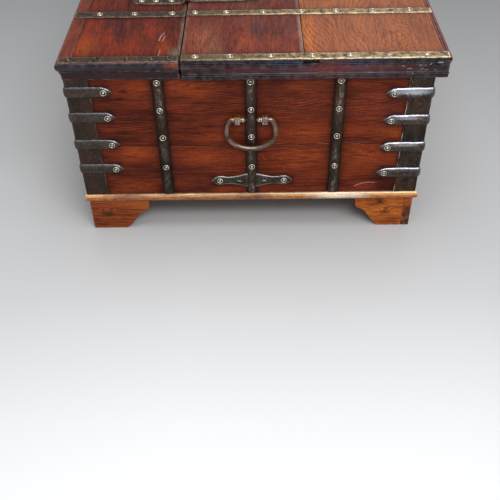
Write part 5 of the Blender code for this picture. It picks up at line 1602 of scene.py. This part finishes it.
def base_looks():
    looks = {}
    plinth_wood = ((0.12, 0.028, 0.006), (0.31, 0.083, 0.015), (0.56, 0.190, 0.036))
    draw = random.Random("worm holes")
    # Worm holes, tone patches and one painted highlight.
    holes = [
        (spot(-HALF_LENGTH - 0.006, draw.uniform(-0.32, 0.32), BODY_LOW - draw.uniform(0.004, 0.014)),
         0.0016, BLACK, 0.9)
        for _ in range(7)] + [
        (spot(-HALF_LENGTH - 0.006, 0.27, BODY_LOW - 0.008), 0.110, (0.24, 0.062, 0.018), 0.6),
        (spot(-HALF_LENGTH - 0.006, 0.02, BODY_LOW - 0.008), 0.060, (0.30, 0.080, 0.020), 0.5),
        (spot(-HALF_LENGTH - 0.006, 0.262, BODY_LOW - 0.008), 0.030, (0.17, 0.052, 0.024), 0.6),
        (spot(-HALF_LENGTH - 0.006, -0.005, BODY_LOW - 0.008), 0.026, (0.16, 0.046, 0.016), 0.7),
        # A painted highlight on the nosing.
        (spot(-HALF_LENGTH - 0.006, -0.190, BODY_LOW - 0.007), 0.040, (1.0, 0.86, 0.68), 0.7)]
    for axis in ("x", "y"):
        looks["plinth_" + axis] = wood(
            "plinth_" + axis, axis, *plinth_wood, figure=0.02, contrast=1.0, sheen=0.3, polish=0.24, coat=0.35,
            # The two pale bands along the nosing are painted highlights; the dark band makes the bottom edge darker.
            bands=(
                ("Z", BODY_LOW - 0.004, 0.0042, (0.80, 0.41, 0.13), 0.55),
                ("Z", BODY_LOW - 0.0015, 0.0022, (0.96, 0.74, 0.44), 0.6),
                ("Z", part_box("left_plinth_rail")[0].z, 0.0060, (0.20, 0.055, 0.014), 0.7)),
            patches=holes if axis == "y" else (), rubbed=(0.90, 0.68, 0.38),
            faces=(("Z", (0.085, 0.022, 0.009), 0.85),), above=BODY_LOW - 0.0012)
    end_grain = (0.050, 0.016, 0.017)
    foot_line = ("Z", FOOT_LAYER, 0.0008, BLACK, 0.9)
    for label, tones in (
            ("rear", ((0.072, 0.0125, 0.0046), (0.210, 0.039, 0.009), (0.41, 0.096, 0.018))),
            ("front", ((0.125, 0.023, 0.005), (0.38, 0.082, 0.013), (0.68, 0.210, 0.031)))):
        for axis in ("x", "y"):
            knots = []
            loops = []
            for sign, away, rise in FOOT_KNOTS[label]:
                for side in (-1, 1):
                    centre = spot(side * HALF_LENGTH, sign * (HALF_DEPTH - away), rise)
                    knots.append((centre, 0.0110, BLACK, 0.95))
                    loops.append((centre, (0.016, 0.026, 0.014), 4))
            looks[f"foot_{label}_{axis}"] = wood(
                f"foot_{label}_{axis}", axis, *tones, figure=0.055, sheen=0.15, patches=knots, bands=(foot_line,),
                loops=loops, faces=(("X", end_grain, 1.0),) if (axis, label) == ("x", "front") else (),
                below=FOOT_LAYER, worn=0.35)
    return looks


def plank_looks():
    deep, red, orange = (0.046, 0.0086, 0.0050), (0.116, 0.0178, 0.0062), (0.205, 0.0325, 0.0092)
    knot, haze = (0.022, 0.0060, 0.0035), (0.165, 0.031, 0.0135)
    shade, glow, rose = (0.056, 0.0100, 0.0062), (0.255, 0.045, 0.0105), (0.32, 0.042, 0.022)
    end_x = -HALF_LENGTH
    joint_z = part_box("left_end_upper_plank")[0].z
    worn_line, cut = (0.30, 0.17, 0.12), (0.40, 0.25, 0.15)
    patches = {
        "left_upper": (
            (spot(end_x, 0.200, 0.345), 0.030, glow, 0.6), (spot(end_x, 0.110, 0.350), 0.038, glow, 0.8),
            (spot(end_x, 0.145, 0.352), 0.010, rose, 0.6), (spot(end_x, -0.100, 0.352), 0.030, glow, 0.6),
            (spot(end_x, -0.115, 0.245), 0.030, glow, 0.6), (spot(end_x, 0.075, 0.235), 0.030, glow, 0.35),
            (spot(end_x, -0.290, 0.245), 0.030, glow, 0.6), (spot(end_x, 0.250, 0.290), 0.060, shade, 0.55),
            (spot(end_x, -0.050, 0.350), 0.025, shade, 0.5), (spot(end_x, -0.240, 0.345), 0.040, shade, 0.3),
            (spot(end_x, 0.045, 0.300), 0.050, shade, 0.4), (spot(end_x, 0.2405, 0.3439), 0.0065, knot, 0.85),
            (spot(end_x, 0.2503, 0.3290), 0.0070, knot, 0.85),
            (spot(end_x, -0.100, 0.315), 0.050, haze, 0.6), (spot(end_x, -0.250, 0.305), 0.055, haze, 0.6),
            # Painted shadows under the two handle posts and inside the bail.
            (spot(end_x, 0.030, 0.270), 0.020, shade, 0.7), (spot(end_x, -0.034, 0.272), 0.018, shade, 0.7),
            (spot(end_x, END_CENTER_Y, 0.232), 0.026, shade, 0.7)),
        "left_lower": (
            (spot(end_x, 0.235, 0.198), 0.030, glow, 0.7), (spot(end_x, 0.245, 0.115), 0.030, glow, 0.8),
            (spot(end_x, 0.090, 0.190), 0.035, glow, 0.6), (spot(end_x, 0.060, 0.106), 0.020, glow, 0.7),
            (spot(end_x, -0.105, 0.195), 0.040, glow, 0.5), (spot(end_x, -0.090, 0.160), 0.030, glow, 0.3),
            (spot(end_x, -0.245, 0.110), 0.022, rose, 0.8), (spot(end_x, -0.240, 0.185), 0.040, glow, 0.6),
            (spot(end_x, 0.115, 0.125), 0.045, shade, 0.7), (spot(end_x, 0.215, 0.160), 0.030, shade, 0.6),
            (spot(end_x, -0.280, 0.120), 0.030, shade, 0.7), (spot(end_x, -0.120, 0.112), 0.030, shade, 0.5)),
    }
    loops = {
        "left_upper": (
            (spot(end_x, 0.105, 0.354), (0.02, 0.085, 0.018), 6), (spot(end_x, 0.246, 0.336), (0.02, 0.034, 0.018), 5)),
        "left_lower": ((spot(end_x, -0.075, 0.185), (0.02, 0.090, 0.022), 4),)}
    strokes = {
        "left_upper": (
            ((spot(end_x, -0.139, joint_z + 0.001), spot(end_x, -0.158, joint_z + 0.001)), 0.0008, worn_line, 0.9),
            ((spot(end_x, -0.205, joint_z + 0.001), spot(end_x, -0.222, joint_z + 0.001)), 0.0008, worn_line, 0.9)),
        "left_lower": (
            ((spot(end_x, -0.220, 0.1120), spot(end_x, -0.233, 0.1185), spot(end_x, -0.248, 0.1215),
              spot(end_x, -0.262, 0.1205)), 0.0011, cut, 0.9),)}
    looks = {}
    for name, grain in (
            ("left_upper", "y"), ("left_lower", "y"), ("right_upper", "y"), ("right_lower", "y"),
            ("front", "x"), ("rear", "x"), ("floor", "x")):
        bands = (("Z", joint_z, 0.0014, BLACK, 0.8),) if "_" in name else ()
        looks[name] = wood(
            "wood_" + name, grain, deep, red, orange, figure=0.032, contrast=1.45, sheen=0.08, fibre=(13, 210),
            patches=patches.get(name, ()), loops=loops.get(name, ()), strokes=strokes.get(name, ()), bands=bands)
    return looks


def top_looks():
    looks = {}
    deep, near_x = (0.030, 0.012, 0.014), -HALF_LENGTH
    pale, cut = (0.20, 0.145, 0.105), (0.42, 0.34, 0.28)
    seam = MIDDLE_Y + FIXED_SEAM_Y
    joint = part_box("lid_front_board")[1].y
    level = FIXED_TOP
    looks["fixed_top"] = wood(
        "wood_fixed_top", "x", (0.028, 0.0075, 0.0055), (0.118, 0.0180, 0.0095), (0.240, 0.0335, 0.0115), figure=0.015,
        contrast=0.9, sheen=0.09, fibre=(20, 150), stroke_face="z",
        patches=(
            (spot(near_x + 0.022, FIXED_SEAM_Y + 0.010, level), 0.020, (0.24, 0.17, 0.095), 0.8),
            (spot(near_x + 0.050, FIXED_SEAM_Y + 0.035, level), 0.022, (0.33, 0.050, 0.010), 0.8),
            (spot(near_x + 0.120, FIXED_SEAM_Y + 0.060, level), 0.030, (0.26, 0.034, 0.012), 0.6),
            (spot(near_x + 0.110, FIXED_SEAM_Y + 0.120, level), 0.030, deep, 0.6),
            (spot(near_x + 0.070, FIXED_SEAM_Y + 0.060, level), 0.025, deep, 0.4),
            (spot(near_x + 0.180, FIXED_SEAM_Y + 0.150, level), 0.030, deep, 0.6),
            (spot(near_x + 0.060, FIXED_SEAM_Y + 0.185, level), 0.040, (0.25, 0.050, 0.010), 0.7)),
        bands=(
            ("Y", seam, 0.009, (0.19, 0.135, 0.100), 0.65), ("Y", FIXED_HIGH.y - 0.002, 0.0020, BLACK, 0.6)),
        strokes=(
            ((spot(-0.4720, 0.1729, level), spot(-0.4530, 0.1705, level), spot(-0.4390, 0.1650, level)), 0.0013, cut, 0.7),
            ((spot(-0.4750, 0.1660, level), spot(-0.4520, 0.1627, level)), 0.0012, cut, 0.6),
            ((spot(-0.5360, 0.1689, level), spot(-0.5089, 0.1673, level)), 0.0011, cut, 0.45)))
    looks["lid_rear"] = wood(
        "wood_lid_rear", "x", (0.050, 0.0130, 0.0112), (0.145, 0.0285, 0.0178), (0.260, 0.0570, 0.0265), figure=0.020,
        contrast=0.9, sheen=0.12, fibre=(20, 150),
        patches=(
            (spot(near_x + 0.075, LID_SEAM_Y - 0.045, LID_TOP), 0.050, (0.30, 0.090, 0.046), 0.75),
            (spot(near_x + 0.020, LID_SEAM_Y - 0.060, LID_TOP), 0.030, (0.27, 0.105, 0.052), 0.7),
            (spot(near_x + 0.060, LID_SEAM_Y - 0.115, LID_TOP), 0.030, (0.28, 0.055, 0.020), 0.7),
            (spot(near_x + 0.050, LID_SEAM_Y - 0.170, LID_TOP), 0.030, (0.24, 0.050, 0.020), 0.6),
            (spot(near_x + 0.125, LID_SEAM_Y - 0.140, LID_TOP), 0.030, (0.055, 0.024, 0.030), 0.75),
            (spot(near_x + 0.120, LID_SEAM_Y - 0.200, LID_TOP), 0.030, (0.080, 0.026, 0.026), 0.6),
            # A painted greyish sheen in the middle of the board.
            (spot(near_x + 0.230, LID_SEAM_Y - 0.120, LID_TOP), 0.060, (0.095, 0.050, 0.034), 0.5)),
        bands=(("Y", joint + 0.004, 0.0045, pale, 0.8), ("Y", MIDDLE_Y + LID_SEAM_Y, 0.008, (0.16, 0.11, 0.08), 0.6)))
    looks["lid_front"] = wood(
        "wood_lid_front", "x", (0.12, 0.032, 0.012), (0.25, 0.070, 0.024), (0.37, 0.115, 0.040), figure=0.050,
        turns=180.0, contrast=0.85, sheen=0.17,
        loops=(
            (spot(-0.4700, -0.292, LID_TOP), (0.170, 0.070, 0.050), 11),
            (spot(-0.5500, -0.215, LID_TOP), (0.110, 0.040, 0.050), 4)),
        bands=(("Y", joint - 0.010, 0.022, (0.38, 0.105, 0.024), 0.7), ("Y", joint, 0.0016, BLACK, 0.8)))
    return looks


def make_looks():
    looks = iron_looks()
    for more in (moulding_looks(), base_looks(), plank_looks(), top_looks()):
        looks.update(more)
    return looks


def boards(looks):
    for label, side in SIDES:
        for level in ("upper", "lower"):
            board(f"{label}_end_{level}_plank", looks[f"{label}_{level}"])
    board("front_board", looks["front"])
    low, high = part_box("rear_board")
    board("rear_board", looks["rear"], low, Vector((high.x, low.y + WALL, high.z)))
    board("floor_board", looks["floor"])
    board("fixed_top_board", looks["fixed_top"], FIXED_LOW, Vector((FIXED_HIGH.x, FIXED_HIGH.y, FIXED_TOP)))
    board("lid_rear_board", looks["lid_rear"])
    board("lid_front_board", looks["lid_front"])


# Stage

# The floor's colour is a painted light falloff: pale near the camera, grey further off.
FLOOR_NEAR, FLOOR_FAR = -1.20, 0.60
FLOOR_SIDES = (-0.65, 0.15, 0.87, 1.0)
FLOOR_GREYS = ((0.0, 0.88), (1.0, 0.40), (0.08, 0.82), (0.15, 0.74), (0.24, 0.64), (0.34, 0.595), (0.60, 0.525))


def floor_stage():
    bpy.ops.mesh.primitive_circle_add(vertices=96, radius=7.0, fill_type="NGON")
    ground = bpy.context.object
    ground.name = "stage_floor"
    mat, tree, shader = new_look("stage_floor")
    coords = node_of(tree, "TexCoord").outputs["Object"]
    places = node_of(tree, "SeparateXYZ", None, Vector=coords)
    share = ramp(tree, places.outputs["X"], FLOOR_NEAR, FLOOR_FAR)
    fade = node_of(tree, "ValToRGB", None, Fac=share)
    stops = fade.color_ramp.elements
    for index, (place, grey) in enumerate(FLOOR_GREYS):
        stop = stops[index] if index < 2 else stops.new(place)
        stop.position = place
        stop.color = (grey, grey * 0.993, grey * 0.980, 1)
    # Painted falloff: a little darker towards -Y.
    side_falloff = node_of(
        tree, "VectorMath", {"operation": "SCALE"}, i0=fade.outputs["Color"],
        Scale=ramp(tree, places.outputs["Y"], *FLOOR_SIDES))
    tree.links.new(side_falloff.outputs["Vector"], shader.inputs["Base Color"])
    shader.inputs["Roughness"].default_value = 0.9
    ground.data.materials.append(mat)


def area_light(name, place, target, size, power, colour=(1, 1, 1)):
    light = bpy.data.lights.new(name, "AREA")
    light.shape = "RECTANGLE"
    light.size, light.size_y = size
    light.energy = power
    light.color = colour
    obj = bpy.data.objects.new(name, light)
    bpy.context.scene.collection.objects.link(obj)
    obj.location = place
    obj.rotation_euler = (Vector(target) - Vector(place)).to_track_quat("-Z", "Y").to_euler()


def lights():
    world = bpy.data.worlds.new("studio")
    bpy.context.scene.world = world
    world.use_nodes = True
    back = world.node_tree.nodes["Background"]
    back.inputs["Color"].default_value = (0.95, 0.97, 1.0, 1)
    back.inputs["Strength"].default_value = 0.34
    area_light("key", (-2.05, -0.60, 2.05), (-0.60, -0.10, 0.25), (1.5, 0.6), 30, (0.95, 0.97, 1.0))
    area_light("strip", (-1.16, -0.30, 2.6), (-0.62, -0.10, 0.25), (2.4, 0.45), 14, (0.93, 0.96, 1.0))
    area_light("overhead", (-0.1, 0.1, 2.7), (-0.1, 0, 0.3), (1.8, 1.6), 24, (0.96, 0.98, 1.0))
    area_light("front_fill", (-2.7, -0.8, 1.5), (-0.4, 0, 0.2), (1.3, 1.3), 6)
    area_light("back", (1.9, -1.0, 1.9), (0, -0.1, 0.4), (1.6, 1.2), 6, (0.92, 0.95, 1.0))


CAMERA_PLACE = Vector((-1.76408, 0.00272, 1.05721))
CAMERA_RIGHT = Vector((-0.000885, -0.999911, -0.013348))
CAMERA_UP = Vector((0.680747, -0.010379, 0.732445))
CAMERA_LENS = 51.976


def camera():
    data = bpy.data.cameras.new("photo_camera")
    data.sensor_width = 36.0
    data.lens = CAMERA_LENS
    data.clip_start = 0.05
    obj = bpy.data.objects.new("photo_camera", data)
    bpy.context.scene.collection.objects.link(obj)
    back = CAMERA_RIGHT.cross(CAMERA_UP)
    turn = Matrix((CAMERA_RIGHT, CAMERA_UP, back)).transposed().to_4x4()
    obj.matrix_world = Matrix.Translation(CAMERA_PLACE) @ turn
    bpy.context.scene.camera = obj


LOOKS = make_looks()
end_irons("left", -1, LOOKS)
end_irons("right", 1, LOOKS)
long_side_irons(LOOKS)
corner_irons(LOOKS)
top_irons(LOOKS)
hinges(LOOKS)
hasp_plate(LOOKS)
hasp(LOOKS)
hasp_staple(LOOKS)
mouldings(LOOKS)
plinth(LOOKS)
boards(LOOKS)
feet(LOOKS)
for end_label, end_side in SIDES:
    bail(end_label, end_side, LOOKS)
    handle_posts(end_label, end_side, LOOKS)
floor_stage()
lights()
camera()
bpy.context.scene.view_settings.view_transform = "Standard"
